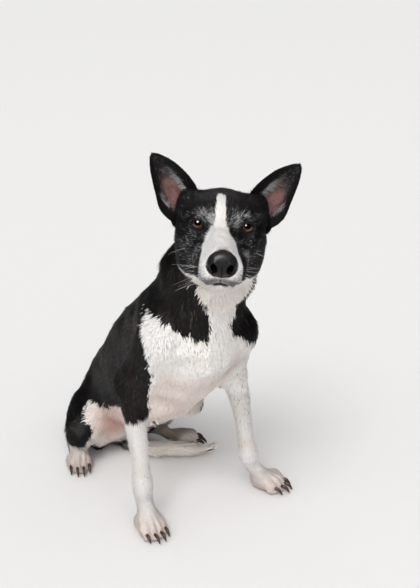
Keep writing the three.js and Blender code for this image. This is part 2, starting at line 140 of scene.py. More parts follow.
STUDIO_COLOUR, STUDIO_STRENGTH = (0.985, 0.985, 1.0, 1), 0.6
WINDOW = HEAD.turn((-0.22, -0.79, 0.57))  # the way to it, above the dog's eyes
SOFT_SOURCES = {  # where each shines from, how strong, how wide in degrees, and its colour
    "window": (WINDOW, 1.25, 20, (0.97, 0.985, 1.0)),
    "window_gleam": (WINDOW, 4.2, 26, (0.95, 0.98, 1.0)),
    "front": ((-0.85, -1.0, 0.55), 1.9, 100, (1.0, 0.985, 0.96)),
}
FLOOR_REACH = 20.0


def make_light():
    """An even pale studio: light from all around, a window that also gleams, and a wide front."""
    world = bpy.data.worlds.new("studio")
    bpy.context.scene.world = world
    world.use_nodes = True
    background = world.node_tree.nodes["Background"]
    background.inputs["Color"].default_value = STUDIO_COLOUR
    background.inputs["Strength"].default_value = STUDIO_STRENGTH
    world.cycles_visibility.glossy = False
    for name, (way, strength, width, colour) in SOFT_SOURCES.items():
        lamp = bpy.data.objects.new(name, bpy.data.lights.new(name, "SUN"))
        lamp.data.energy = strength
        lamp.data.angle = math.radians(width)
        lamp.data.color = colour
        lamp.rotation_euler = Vector(way).to_track_quat("Z", "Y").to_euler()
        lamp.visible_glossy = name.endswith("gleam")
        lamp.visible_diffuse = not lamp.visible_glossy
        bpy.context.scene.collection.objects.link(lamp)


def make_floor():
    bm = bmesh.new()
    bmesh.ops.create_grid(bm, x_segments=1, y_segments=1, size=FLOOR_REACH)
    floor = object_of("floor", bm)
    floor.data.materials.append(floor_finish())


def object_of(name, bm):
    mesh = bpy.data.meshes.new(name)
    bm.to_mesh(mesh)
    bm.free()
    made = bpy.data.objects.new(name, mesh)
    bpy.context.scene.collection.objects.link(made)
    return made


# ---------- arrays ----------
def points_of(mesh):
    co = np.empty(len(mesh.vertices) * 3)
    mesh.vertices.foreach_get("co", co)
    return co.reshape(-1, 3)


def set_points(mesh, co):
    mesh.vertices.foreach_set("co", np.ascontiguousarray(co, np.float32).ravel())
    mesh.update()


def normals_of(mesh):
    n = np.empty(len(mesh.vertices) * 3, np.float32)
    mesh.vertices.foreach_get("normal", n)
    return n.reshape(-1, 3).astype(float)


def ramp(x, low, high):
    """Rises smoothly from 0 at low to 1 at high, or falls where low is the higher."""
    t = np.clip((x - low) / (high - low), 0, 1)
    return t * t * (3 - 2 * t)


def read(table, x):
    """A value at x on a line through a table's (x, value) pairs."""
    return np.interp(x, *zip(*table))


def put_places(bm, places):
    for vert, place in zip(bm.verts, places):
        vert.co = place


def shape_of(bm):
    return np.array([v.co[:] for v in bm.verts])


def tree_of(places, mesh):
    return BVHTree.FromPolygons(places.tolist(), [tuple(p.vertices) for p in mesh.polygons])


class Web:
    """The edges of a mesh, to average what its vertices hold with their neighbours."""

    def __init__(self, mesh):
        ends = np.empty(len(mesh.edges) * 2, np.int64)
        mesh.edges.foreach_get("vertices", ends)
        ends = ends.reshape(-1, 2)
        self.start = np.concatenate([ends[:, 0], ends[:, 1]])
        self.end = np.concatenate([ends[:, 1], ends[:, 0]])
        self.size = len(mesh.vertices)
        self.count = np.maximum(np.bincount(self.start, minlength=self.size), 1)

    def mean(self, values):
        flat = values.reshape(self.size, -1)
        sums = [np.bincount(self.start, flat[self.end, i], self.size) for i in range(flat.shape[1])]
        return (np.stack(sums, 1) / self.count[:, None]).reshape(values.shape)

    def spread(self, values, times):
        for _ in range(times):
            values = (values + self.mean(values)) / 2
        return values

    def fair(self, co, weight, pairs, cut):
        """Smooths without shrinking: what is longer than cut allows keeps its size."""
        inward, outward = 0.5, 1 / (cut - 2)
        for _ in range(pairs):
            for share in (inward, outward):
                co = co + share * weight[:, None] * (self.mean(co) - co)
        return co


# ---------- the skin ----------
COARSE, FINE = 5.0 * MM, 2.4 * MM  # grain of the body's and the head's form
FLOOR_GAP = 0.5 * MM  # between the skin and the floor
SOCKET_MARGIN = 0.8  # filled round each eye, in millimetres
DEPTH = {  # of the coat over the skin, in millimetres
    "head": 2.4, "nose": 3.0, "neck": 8.0, "trunk": 6.0, "forepaw": 1.6, "forearm": 3.0, "upper_arm": 5.0,
    "thigh": 5.5, "shank": 4.0, "hindpaw": 1.6, "tail_base": 6.0, "tail_middle": 7.0, "tail_tip": 7.0,
}
CLOSE = ("head", "nose", "forepaw", "hindpaw")  # nodes whose form keeps its detail
FACE_BOX = ((-60, -110, -84), (60, 34, 34))  # parts of the head with a finer mesh
LIPS_BOX = ((-28, -106, -86), (28, -62, -50))
LIDS_REACH = 19  # round each eye
LIDS_BACK = 2


def without_side(node):
    return node.replace("_left", "").replace("_right", "")


def flesh_form():
    """All flesh as one bmesh, with the sockets of eyes and nose filled."""
    bm = bmesh.new()
    for node in [*FLESH, "nose"]:
        bm.from_mesh(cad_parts[node].data)
    for side in SIDES:
        place = Matrix.Translation(box_middle(f"eye_{side}"))
        radius = (EYE_RADIUS + SOCKET_MARGIN) * MM
        bmesh.ops.create_icosphere(bm, subdivisions=3, radius=radius, matrix=place)
    bmesh.ops.remove_doubles(bm, verts=bm.verts, dist=1e-6)
    return bm


def applied(made):
    """The object with its modifiers put into its mesh."""
    seen = made.evaluated_get(bpy.context.evaluated_depsgraph_get())
    mesh = bpy.data.meshes.new_from_object(seen)
    made.modifiers.clear()
    made.data = mesh
    return made


def remeshed(name, voxel):
    made = object_of(name, flesh_form())
    modifier = made.modifiers.new("even", "REMESH")
    modifier.mode = "VOXEL"
    modifier.voxel_size = voxel
    return applied(made)


def fine_form():
    """The head's and paws' form, smoothed only as far as the solids' facets need."""
    made = remeshed("fine", FINE)
    co = points_of(made.data)
    co = Web(made.data).fair(co, np.ones(len(co)), pairs=45, cut=0.24)
    tree = tree_of(co, made.data)
    bpy.data.objects.remove(made)
    return tree


class Nodes:
    """Which CAD node's flesh a point lies on."""

    def __init__(self):
        places, faces, self.names = [], [], []
        for node in [*FLESH, *EARS, "nose"]:
            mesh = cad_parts[node].data
            faces += [tuple(len(places) + v for v in p.vertices) for p in mesh.polygons]
            self.names += [node] * len(mesh.polygons)
            places += [tuple(v.co) for v in mesh.vertices]
        self.tree = BVHTree.FromPolygons(places, faces)

    def at(self, places):
        return np.array([self.names[self.tree.find_nearest(p)[2]] for p in places.tolist()])


def refine(made, chosen):
    """Halves the edges inside a region of the mesh."""
    bm = bmesh.new()
    bm.from_mesh(made.data)
    bm.verts.ensure_lookup_table()
    edges = [e for e in bm.edges if chosen[e.verts[0].index] and chosen[e.verts[1].index]]
    bmesh.ops.subdivide_edges(bm, edges=edges, cuts=1, use_grid_fill=True)
    bmesh.ops.triangulate(bm, faces=[f for f in bm.faces if len(f.verts) > 4])
    bm.to_mesh(made.data)
    bm.free()


def settle(co, tree, weight):
    """Moves points towards the nearest ones of a form, as far as weight says."""
    out = co.copy()
    for i in np.nonzero(weight > 0.01)[0]:
        near = tree.find_nearest(Vector(co[i]))[0]
        out[i] = co[i] + weight[i] * (np.array(near) - co[i])
    return out


def close_weight(labels, web):
    near = np.array([without_side(n) in CLOSE for n in labels], float)
    return web.spread(near, 6)


def within(h, box):
    return (h > np.array(box[0])).all(1) & (h < np.array(box[1])).all(1)


def make_skin():
    made = remeshed("skin", COARSE)
    web = Web(made.data)
    co = points_of(made.data)
    co = web.fair(co, np.ones(len(co)), pairs=100, cut=0.1)
    nodes = Nodes()
    form = fine_form()
    near = close_weight(nodes.at(co), web)
    co = settle(co, form, ramp(near, 0.2, 0.8))
    set_points(made.data, co)
    refine(made, near > 0.5)

    refine(made, within(HEAD.inside(points_of(made.data)), FACE_BOX))
    h = HEAD.inside(points_of(made.data))
    lids = np.zeros(len(h), bool)
    for side in SIDES:
        lids |= np.linalg.norm(h - HEAD.eyes[side], axis=1) < LIDS_REACH
    refine(made, within(h, LIPS_BOX) | (lids & (h[:, 1] < LIDS_BACK)))
    web = Web(made.data)
    co = points_of(made.data)
    labels = nodes.at(co)
    near = close_weight(labels, web)
    co = web.fair(co, near, pairs=3, cut=0.3)
    co = settle(co, form, ramp(near, 0.5, 1.0))
    co = web.fair(co, near, pairs=6, cut=0.3)
    set_points(made.data, co)

    depth = web.spread(np.array([DEPTH[without_side(n)] for n in labels]), 14) * MM
    co = co - depth[:, None] * normals_of(made.data)
    co[:, 2] = np.maximum(co[:, 2], FLOOR_GAP)
    set_points(made.data, co)
    sculpt_head(made)
    sculpt_paws(made, labels)
    join_ears(made)
    for polygon in made.data.polygons:
        polygon.use_smooth = True
    return made


EAR_SKIN = np.array([0.19, 0.088, 0.08])
# the darkest painted shade in the ear's hollow, also the colour of its blotches
EAR_SHADE_AND_BLOTCH = np.array([0.035, 0.018, 0.017])


def colour_skin(made, parts):
    co, normal = points_of(made.data), normals_of(made.data)
    colour = skin_colour(co, parts)
    hollow, across, along = inner_ear(HEAD.inside(co), parts, normal)
    # Painted shade: the ear's hollow darkens towards the tip and in a band beside its inner ridge; waves add
    # blotches.
    ear_shade_and_blotches = ramp(along, 0.45, 0.75) * 0.7 + 0.35 * bump(across - 0.3, 0.1)
    ear_shade_and_blotches = ear_shade_and_blotches + 0.3 * waves(co, 16 * MM, seed=61)
    deep = mix(EAR_SKIN, EAR_SHADE_AND_BLOTCH, np.clip(ear_shade_and_blotches + 0.15, 0, 1))
    return mix(colour, deep, hollow * bare_ear(across, along))


def unwrap(made):
    """Spreads the skin's own shape on a flat map."""
    made.data.uv_layers.new(name="OFBake")
    bpy.context.view_layer.objects.active = made
    made.select_set(True)
    bpy.ops.object.mode_set(mode="EDIT")
    bpy.ops.mesh.select_all(action="SELECT")
    bpy.ops.uv.smart_project(angle_limit=math.radians(70), island_margin=0.002)
    bpy.ops.object.mode_set(mode="OBJECT")
    made.select_set(False)


# ---------- modelling of the head, in its own frame ----------
EYE_OPENING = (8.3, 6.7)  # half width and half height of the opening between the lids
UPPER_LID = 0.88  # height of the opening's upper half, as a share
LID_BEND = 0.9  # drop of the opening's ends
LIP = [  # the mouth's line on one side, from its middle to its corner
    (0, -81, -69.3), (3, -81, -69.6), (6, -80.7, -70.3), (9, -80.2, -71.2),
    (12, -79.4, -72.0), (15.5, -78.4, -72.6), (19, -77, -72.6), (22.5, -74, -72.2),
    (25.5, -68, -71.2), (27.5, -58, -69.9), (28, -42, -68.5), (28, -24, -67),
]
PHILTRUM = [(0, -92, -55), (0, -84, -60), (0, -82, -65), (0, -80.5, -68.5)]
FRONT_OF_LIP = 7  # points of the line that lie on the muzzle's front
FLAT = np.array([1.0, 0.35, 1.0])  # depth counts for less in distances from the mouth's line
NOSE_CENTRE = np.array([0.3, -89.0, -42.7])
NOSE_REACH = np.array([20.7, 14.0, 18.3])  # half sizes of the bare leather's place on the skin
NOSE_SEAT = 5.0  # how far behind the leather's middle the skin under it lies
FURROW = [(0, -12, 4), (0, 8, 30), (0, 34, 44)]  # between the eyes and up the forehead
FACE_FORM = [  # rise in millimetres, place and size, the same on both sides
    (1.2, (0, -76, -75.0), (11, 7, 3.0)),  # chin
    (1.5, (14, -84, -62), (7, 8, 6)),  # pads of the upper lip
    (1.8, (27, -56, -60), (10, 16, 10)),  # flews
    (-1.6, (30, -36, -34), (8, 18, 9)),  # hollow before the cheek
    (-1.4, (18, -30, -16), (7, 14, 8)),  # stop beside the bridge
    (2.4, (25, 0, 15), (12, 9, 6)),  # brow
    (1.8, (47, 8, -14), (10, 20, 7)),  # cheekbone
    (-1.5, (46, 12, 6), (9, 14, 7)),  # temple
]


def along_line(h, line):
    """Distance of each point from a line of points, and how far along the nearest place is."""
    best = np.full(len(h), 1e9)
    where = np.zeros(len(h))
    run = 0.0
    for a, b in zip(line, line[1:]):
        a, b = np.array(a, float), np.array(b, float)
        length = np.linalg.norm(b - a)
        t = np.clip((h - a) @ (b - a) / length**2, 0, 1)
        d = np.linalg.norm(h - (a + t[:, None] * (b - a)), axis=1)
        closer = d < best
        best[closer] = d[closer]
        where[closer] = (run + t * length)[closer]
        run += length
    return best, where / run


def both_sides(h):
    mirrored = h.copy()
    mirrored[:, 0] = np.abs(mirrored[:, 0])
    return mirrored


def bump(distance, size):
    return np.exp(-((distance / size) ** 2))


def near_to(h, place, size):
    """1 at a place, falling to nothing about twice size away; size may differ by direction."""
    return bump(np.linalg.norm((h - np.array(place, float)) / size, axis=1), 1.0)


def to_nose(h):
    """Distance from the leather's middle: 1 at the edge of its place."""
    return np.linalg.norm((h - NOSE_CENTRE) / NOSE_REACH, axis=1)


def eye_axes(side):
    """Directions of an eye in the head's frame: out of the eye, away from the nose, and up."""
    sign = SIGN[side]
    gaze = unit(np.array([0.2 * sign, -1.0, 0.08]))
    out = unit(np.array([1.0, 0.2 * sign, 0.1 * sign])) * sign
    out = unit(out - gaze * (gaze @ out))
    up = np.cross(out, gaze)
    return gaze, out, up if up[2] > 0 else -up


def eye_place(h, side):
    """Where points are from an eye, above and ahead of it, and the reach of its opening."""
    gaze, out, up = eye_axes(side)
    d = h - HEAD.eyes[side]
    across, above, ahead = d @ out, d @ up, d @ gaze
    width, height = EYE_OPENING
    above = above + LID_BEND * (across / width) ** 2
    height = np.where(above > 0, UPPER_LID * height, height)
    return d, above, ahead, np.sqrt((across / width) ** 2 + (above / height) ** 2)


EYE_REGION = 26  # how far round an eye its lids reach
LID_THICK = 1.25
SOCKET_DEPTH = 3.0  # of the skin behind the eyeball's surface


def sculpt_eye(h, side):
    """Lids that lie on the eyeball, with a thick edge and a crease above and below."""
    d, above, front, reach = eye_place(h, side)
    far = np.linalg.norm(d, axis=1)
    ahead = (front > 0) & (far < EYE_REGION)
    upper, lower = ramp(above, -1, 3), ramp(-above, -1, 3)
    lid = EYE_RADIUS + LID_THICK - 0.35 * bump(reach - 1.0, 0.16)
    lid = lid + (1.0 * upper + 0.25 * lower) * bump(reach - 1.34, 0.24)
    hold = ahead * (1 - ramp(reach, 1.3, 2.2))
    radius = far + hold * (lid - far)
    inner = ahead * (1 - ramp(reach, 0.84, 0.98))
    radius = radius + inner * (EYE_RADIUS - SOCKET_DEPTH - radius)
    crease = upper * bump(reach - 1.72, 0.13) + 0.75 * lower * bump(reach - 1.66, 0.15)
    radius = radius - 1.5 * ahead * crease + 0.8 * ahead * lower * bump(reach - 1.98, 0.2)
    return HEAD.eyes[side] + unit(d) * radius[:, None]


LINES = {}  # lines of the face laid on the skin


def on_form(line, tree, front):
    """A line laid on the skin: its first points from ahead, the others at the nearest place."""
    laid = []
    for i, (x, y, z) in enumerate(line):
        hit = tree.ray_cast(Vector((x, y - 40, z)), Vector((0, 1, 0)))[0] if i < front else None
        laid.append(tuple(hit or tree.find_nearest(Vector((x, y, z)))[0]))
    return laid


def from_lip(m):
    """Distance from the mouth's line and how far along it the nearest place is."""
    return along_line(m * FLAT, [tuple(np.array(p) * FLAT) for p in LINES["lip"]])


def mouth_form(m):
    """Rise of the skin along the mouth: the groove, the lip above it and the one below."""
    lip = LINES["lip"][:FRONT_OF_LIP + 2]
    d, where = from_lip(m)
    height = np.interp(m[:, 0], [p[0] for p in lip], [p[2] for p in lip])
    below = ramp(height - m[:, 2], -0.6, 0.8)
    middle = 1 - ramp(where, 0.14, 0.3)
    shallow = 1 - 0.5 * ramp(where, 0.6, 1.0)
    front = 1 - ramp(where, 0.6, 0.9)
    rise = -(2.2 + 1.4 * middle) * bump(d, 1.2 + 0.4 * middle) * shallow
    rise += 1.5 * bump(d - 3.4, 2.0) * (1 - below) * front
    rise -= 1.3 * bump(d - 1.6, 2.2) * below * (1 - middle) * front
    return rise


def sculpt_head(made):
    co = points_of(made.data)
    h = HEAD.inside(co)
    normal = normals_of(made.data) @ HEAD.axes
    near = (h[:, 1] < 60) & (np.linalg.norm(h, axis=1) < 160)
    m = both_sides(h)
    tree = tree_of(h, made.data)
    LINES["lip"] = on_form(LIP, tree, FRONT_OF_LIP)
    LINES["philtrum"] = on_form(PHILTRUM, tree, len(PHILTRUM))
    rise = mouth_form(m)
    groove, _ = along_line(h, LINES["philtrum"])
    rise += 0.5 * bump(groove - 2.4, 1.4) - 1.5 * bump(groove, 0.9)
    furrow, _ = along_line(h, FURROW)
    rise -= 1.7 * bump(furrow, 6)
    for amount, place, size in FACE_FORM:
        rise += amount * near_to(m, place, size)
    co = h + (near * rise)[:, None] * normal
    for side in SIDES:
        co = np.where(near[:, None], sculpt_eye(co, side), co)
    back = NOSE_CENTRE[1] + NOSE_SEAT - co[:, 1]
    co[:, 1] += near * np.maximum(back, 0) * (1 - ramp(to_nose(co), 0.72, 0.95))
    set_points(made.data, HEAD.outside(co))


# ---------- modelling of the paws ----------
def claws_of(paw):
    return [n for n in CLAWS if n.startswith("claw_" + paw + "_")]


SPLAY = 0.012  # of the toes, for each millimetre ahead of the claws' roots
SPLAY_FROM = 8


def toe_frame(co, paw):
    """Where points are from a paw's claws, aside and ahead in millimetres, and where its toes are."""
    roots = np.array([box_middle(n) for n in claws_of(paw)])
    middle = roots.mean(0)
    ahead = middle - np.array(box_middle(paw))
    ahead[2] = 0
    ahead = unit(ahead)
    aside = np.array([-ahead[1], ahead[0], 0])
    toes = np.sort((roots - middle) @ aside / MM)
    a, f = (co - middle) @ aside / MM, (co - middle) @ ahead / MM
    splay = 1 + SPLAY * (f + SPLAY_FROM)
    gaps = [a - (left + right) / 2 * splay for left, right in zip(toes, toes[1:])]
    return a, f, gaps, [a - toe * splay for toe in toes]


def sculpt_paw(co, paw):
    """Rise of the skin over a paw's toes, in millimetres, with grooves between them."""
    a, f, gaps, toes = toe_frame(co, paw)
    here = (np.abs(f) < 60) & (np.abs(a) < 45) & (co[:, 2] < 45 * MM)
    top = ramp(co[:, 2] / MM, 1, 9)
    rise = np.zeros(len(co))
    for gap in gaps:
        rise -= 2.8 * bump(gap, 1.2) * ramp(f, -26, -12) * top
    for toe in toes:
        rise += 2.0 * bump(toe, 3.9) * bump(f + 10, 7) * top
        rise -= 0.8 * bump(toe, 4) * bump(f + 3, 3.5) * top
    return here * rise


def gaps_of(co, paw):
    """How near points are to the grooves between a paw's toes."""
    _, f, gaps, _ = toe_frame(co, paw)
    near = np.maximum.reduce([bump(gap, 1.1) for gap in gaps])
    return near * ramp(f, -22, -8) * ramp(co[:, 2] / MM, 1, 6)


def sculpt_paws(made, labels):
    co = points_of(made.data)
    normal = normals_of(made.data)
    for paw in PAWS:
        side = paw.split("_")[1]
        near = np.isin(labels, [paw, "shank_" + side, "forearm_" + side])
        co += (near * sculpt_paw(co, paw))[:, None] * normal * MM
    co[:, 2] = np.maximum(co[:, 2], FLOOR_GAP)
    set_points(made.data, co)


# ---------- ears ----------
EAR_INNER = [(31, 46, 22), (36, 43, 43), (49, 44, 60), (68, 47, 76), (87, 50, 85), (101, 52, 88.5)]
EAR_OUTER = [(50, 46, -20), (66, 46, -7), (85, 49, 11), (93, 50, 33), (100.5, 51, 57), (105.5, 52, 81)]
EAR_AROUND, EAR_ALONG = 56, 44
EAR_ARCH = 0.42  # depth of the hollow, as a share of the flap's width
EAR_ROOT = np.array([-14.0, 6.0, -6.0])  # how far the flap's foot is sunk into the head
EAR_TIP = 0.86  # share of the length from which the tip is rounded


def on_line(line, t):
    """A smooth curve through evenly spaced points, at shares t of its length."""
    line = np.array(line, float)
    x = np.clip(t, 0, 1) * (len(line) - 1)
    i = np.minimum(x.astype(int), len(line) - 2)
    u = (x - i)[:, None]
    before, after = np.maximum(i - 1, 0), np.minimum(i + 2, len(line) - 1)
    p0, p1, p2, p3 = line[before], line[i], line[i + 1], line[after]
    bend = (2 * p0 - 5 * p1 + 4 * p2 - p3) * u**2 + (3 * p1 - p0 - 3 * p2 + p3) * u**3
    return 0.5 * (2 * p1 + (p2 - p0) * u + bend)


def ear_face(u, t, front):
    """A point of the ear flap: u runs from its inner margin to its outer one, t from base to tip."""
    inner, outer = on_line(EAR_INNER, t), on_line(EAR_OUTER, t)
    pouch = 2.2 * bump(t - 0.17, 0.05) - 1.6 * bump(t - 0.25, 0.03)
    outer = outer + pouch[:, None] * np.array([1.0, -0.4, 0])
    rounded = np.sqrt(1 - np.clip((t - EAR_TIP) / (1 - EAR_TIP), 0, 1) ** 2)
    u = 0.5 + (u - 0.5) * rounded
    place = inner + u[:, None] * (outer - inner)
    span = np.linalg.norm(outer - inner, axis=1)
    arch = np.sin(math.pi * np.clip(u, 0, 1)) ** 0.8
    place[:, 1] += EAR_ARCH * span * (1 - 0.35 * t) * arch
    thick = np.clip(4 * u * (1 - u), 0, 1) ** 0.4 * (1.5 * (1 - 0.45 * t) + 1.2 * (1 - t) ** 3)
    ridge = 1.1 * bump(u - 0.32 - 0.12 * t, 0.05) + 0.9 * bump(u - 0.6 + 0.1 * t, 0.05)
    ridge = ridge * np.clip(1.1 - 1.6 * t, 0, 1) * arch
    place[:, 1] += np.where(front, -thick - ridge, thick)
    return place


def make_ear(side):
    bm = bmesh.new()
    bmesh.ops.create_grid(bm, x_segments=EAR_AROUND, y_segments=EAR_ALONG, size=0.5)
    turn, t = (shape_of(bm) + 0.5)[:, :2].T
    front = turn < 0.5
    u = np.where(front, 2 * turn, 2 - 2 * turn)
    u = 0.5 - 0.5 * np.cos(math.pi * u)
    root = (1 - ramp(t, 0.0, 0.12))[:, None]
    place = ear_face(u, t * 0.985, front) + root * EAR_ROOT
    place[:, 0] *= SIGN[side]
    put_places(bm, HEAD.outside(place))
    bmesh.ops.remove_doubles(bm, verts=bm.verts, dist=0.02 * MM)
    bmesh.ops.holes_fill(bm, edges=[e for e in bm.edges if e.is_boundary], sides=0)
    bmesh.ops.triangulate(bm, faces=[f for f in bm.faces if len(f.verts) > 4])
    bmesh.ops.recalc_face_normals(bm, faces=bm.faces)
    return object_of("ear_" + side + "_flap", bm)


def join_ears(made):
    for side in SIDES:
        flap = make_ear(side)
        union = made.modifiers.new("ear", "BOOLEAN")
        union.operation = "UNION"
        union.solver = "EXACT"
        union.object = flap
        applied(made)
        bpy.data.objects.remove(flap)


def ear_place(h):
    """For points near the ears: u across the flap, and t along it."""
    m = both_sides(h)[:, [0, 2]]
    t = np.linspace(0, 1, 61)
    inner, outer = on_line(EAR_INNER, t)[:, [0, 2]], on_line(EAR_OUTER, t)[:, [0, 2]]
    gap = np.linalg.norm(m[:, None] - ((inner + outer) / 2)[None], axis=2)
    axis = unit(outer - inner)
    away = m[:, None] - inner[None]
    span = np.linalg.norm(outer - inner, axis=1)
    u = (away * axis[None]).sum(2) / span[None]
    off = np.abs(away[:, :, 0] * axis[None, :, 1] - away[:, :, 1] * axis[None, :, 0])
    best = np.argmin(off + 0.2 * gap, axis=1)
    return u[np.arange(len(h)), best], t[best]


# ---------- the lie of the coat ----------
def spot(node, x, y, z):
    """A place inside a node's box, as shares of its sides."""
    low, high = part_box(node)
    return np.array([low[i] + s * (high[i] - low[i]) for i, s in enumerate((x, y, z))])


def claw_middle(paw):
    return np.mean([np.array(box_middle(n)) for n in claws_of(paw)], axis=0)


HEAD_LIE = [[(0, -90, -24), (0, -50, -6), (0, -15, 10), (0, 12, 34), (0, 60, 50), (0, 105, 30)]]
HEAD_SIDE_LIE = [  # for one side, mirrored for the other
    [(15, -84, -38), (27, -50, -32), (42, -20, -28), (58, 20, -24), (60, 50, -16), (56, 85, -10)],
    [(16, -88, -60), (28, -55, -60), (38, -20, -60), (52, 20, -54), (58, 55, -50), (56, 85, -62)],
    [(6, -82, -78), (12, -40, -88), (22, 10, -94), (34, 60, -104)],
    [(7, -45, -8), (13, -22, 0), (22, -12, 13), (33, 4, 24), (40, 30, 36), (30, 70, 44)],
    [(15, -30, -14), (22, -20, -12), (36, -10, -15), (53, 8, -10), (60, 40, -2), (58, 70, 2)],
    [(22, -14, 9), (40, 0, 15), (52, 20, 12), (58, 50, 14)],
]


SPINE_LIE = [(0.52, 0.82), (0.64, 0.66), (0.78, 0.52), (0.91, 0.36), (0.98, 0.2)]  # shares of the trunk's box
BREAST_LIE = [(0.03, 0.85), (0, 0.72), (0.04, 0.58), (0.16, 0.4), (0.36, 0.22), (0.55, 0.1)]
FLANK_LIE = [(0.2, 0.82), (0.4, 0.66), (0.55, 0.48), (0.7, 0.3), (0.85, 0.14)]
BODY_LIE = [  # points are in the head's frame, or in a node's box as shares of its sides
    [(0, 105, 30), ("trunk", 0.51, 0.3, 0.95), ("trunk", 0.51, 0.52, 0.82)],
    [("trunk", 0.51, y, z) for y, z in SPINE_LIE],
    [(0, 20, -92), (0, 80, -110), ("trunk", 0.5, 0.03, 0.85)],
    [("trunk", 0.5, y, z) for y, z in BREAST_LIE],
    [("tail_base", 0.6, 0.4, 0.9), ("tail_middle", 0.35, 0.9, 0.5), ("tail_middle", 0.6, 0.05, 0.5)],
    [("tail_middle", 0.6, 0.05, 0.5), ("tail_tip", 0.1, 0.85, 0.5), ("tail_tip", 1.0, 0.05, 0.4)],
]
BODY_SIDE_LIE = [  # the same, with the share across counted outwards from the middle
    [(58, 85, -40), ("neck", 0.45, 0.5, 0.3), ("trunk", 0.46, 0.2, 0.82)],
    [("trunk", 0.46, y, z) for y, z in FLANK_LIE],
    [("trunk", 0.3, 0.1, 0.86), ("trunk", 0.3, 0.03, 0.68), ("trunk", 0.3, 0.1, 0.48)],
    [("thigh_", 0, 0.95, 0.85), ("thigh_", 0.3, 0.5, 0.7), ("thigh_", 0.2, 0.1, 0.75)],
    [("thigh_", 0.4, 0.8, 0.5), ("thigh_", 0.4, 0.45, 0.3)],
    [("thigh_", 0.2, 0.1, 0.75), ("shank_", 0, 0.4, 0.6), ("shank_", -0.2, 0.85, 0.3)],
]


def stop(place, side=None):
    """A guide line's point from its table."""
    sign = SIGN.get(side, 1)
    if not isinstance(place[0], str):
        x, y, z = place
        return HEAD.outside((sign * x, y, z))
    node, x, y, z = place
    if node.endswith("_"):
        node += side
    return spot(node, 0.5 + x * sign if side else x, y, z)


def body_lie():
    lie = [[stop(place) for place in line] for line in BODY_LIE]
    for side in SIDES:
        lie += [[stop(place, side) for place in line] for line in BODY_SIDE_LIE]
        arm, fore, foot = "upper_arm_" + side, "forearm_" + side, "hindpaw_" + side
        elbow = (spot(arm, 0.5, 0.6, 0.0) + spot(fore, 0.5, 0.5, 1.0)) / 2
        toes = claw_middle("forepaw_" + side)
        lie.append([spot(arm, 0.5, 0.3, 0.95), elbow, spot(fore, 0.5, 0.5, 0.0), toes])
        hock = stop(("shank_", -0.2, 0.85, 0.3), side)
        lie.append([hock, spot(foot, 0.5, 0.8, 0.5), claw_middle(foot)])
    return lie


NEAREST = 4 * MM  # nearer than this to a guide line, hair follows it no more strictly


def follow(places, lie):
    """The way the hair lies near guide lines, nearer lines counting far more."""
    total = np.zeros((len(places), 3))
    for line in lie:
        for a, b in zip(line, line[1:]):
            length = np.linalg.norm(b - a)
            t = np.clip((places - a) @ (b - a) / length**2, 0, 1)
            away = ((places - (a + t[:, None] * (b - a))) ** 2).sum(1)
            total += (1 / (away + NEAREST**2) ** 2)[:, None] * (b - a) / length
    return total


def head_lie():
    ear = (np.array(EAR_INNER) + np.array(EAR_OUTER)) / 2 + np.array([0, 12, 0])
    lie = [[stop(place) for place in line] for line in HEAD_LIE]
    for side in SIDES:
        lie += [[stop(place, side) for place in line] for line in [*HEAD_SIDE_LIE, ear]]
    return lie


def square_to(flow, normal):
    return flow - (flow * normal).sum(1)[:, None] * normal


def lie_of_coat(co, normal, parts, web):
    on_head = np.isin(parts, [*HEAD_NODES, *EARS])
    share = web.spread(on_head.astype(float), 3)[:, None]
    flow = unit(follow(co, head_lie())) * share + unit(follow(co, body_lie())) * (1 - share)
    for _ in range(6):
        flow = square_to(flow, normal)
        flow = web.mean(unit(flow)) + 0.3 * unit(flow)
    return unit(square_to(flow, normal))


# ---------- markings ----------
def waves(places, size, seed, count=6):
    """Smooth noise between about -1 and 1, made of a few waves."""
    dice = np.random.default_rng(seed)
    total = np.zeros(len(places))
    for _ in range(count):
        way = unit(dice.normal(size=3))
        pitch = 2 * math.pi / size
        total += np.sin(places @ way * pitch * dice.uniform(0.6, 1.5) + dice.uniform(0, 6.3))
    return total / math.sqrt(count) / 1.2


BLACK = np.array([0.0045, 0.0042, 0.0048])
BROWN_BLACK = np.array([0.015, 0.0105, 0.0085])
WHITE = np.array([0.9, 0.88, 0.86])
CREAM = np.array([0.8, 0.72, 0.64])
PINK = np.array([0.6, 0.36, 0.3])
FAWN = np.array([0.36, 0.3, 0.25])
GREY = np.array([0.3, 0.3, 0.32])
# painted sheen: a grey mixed into the black hair on top of the head
CROWN_SHEEN = np.array([0.085, 0.079, 0.084])
COOL = np.array([0.42, 0.42, 0.48])
INNER_THIGH = np.array([0.36, 0.19, 0.15])
# dark grey of the skin under the nose, also painted as shade above the nose and along the mouth's crease
LIP_GREY_AND_SHADE = np.array([0.062, 0.06, 0.066])
DARK_SKIN = np.array([0.02, 0.016, 0.016])
LID_EDGE = np.array([0.17, 0.12, 0.12])
LID_BLACK = np.array([0.004, 0.0035, 0.0035])
LIP_EDGE = np.array([0.2, 0.16, 0.16])
TOE_RED = np.array([0.3, 0.11, 0.07])


def mix(a, b, share):
    share = np.asarray(share)[:, None] if np.ndim(share) else share
    return a + (b - a) * share


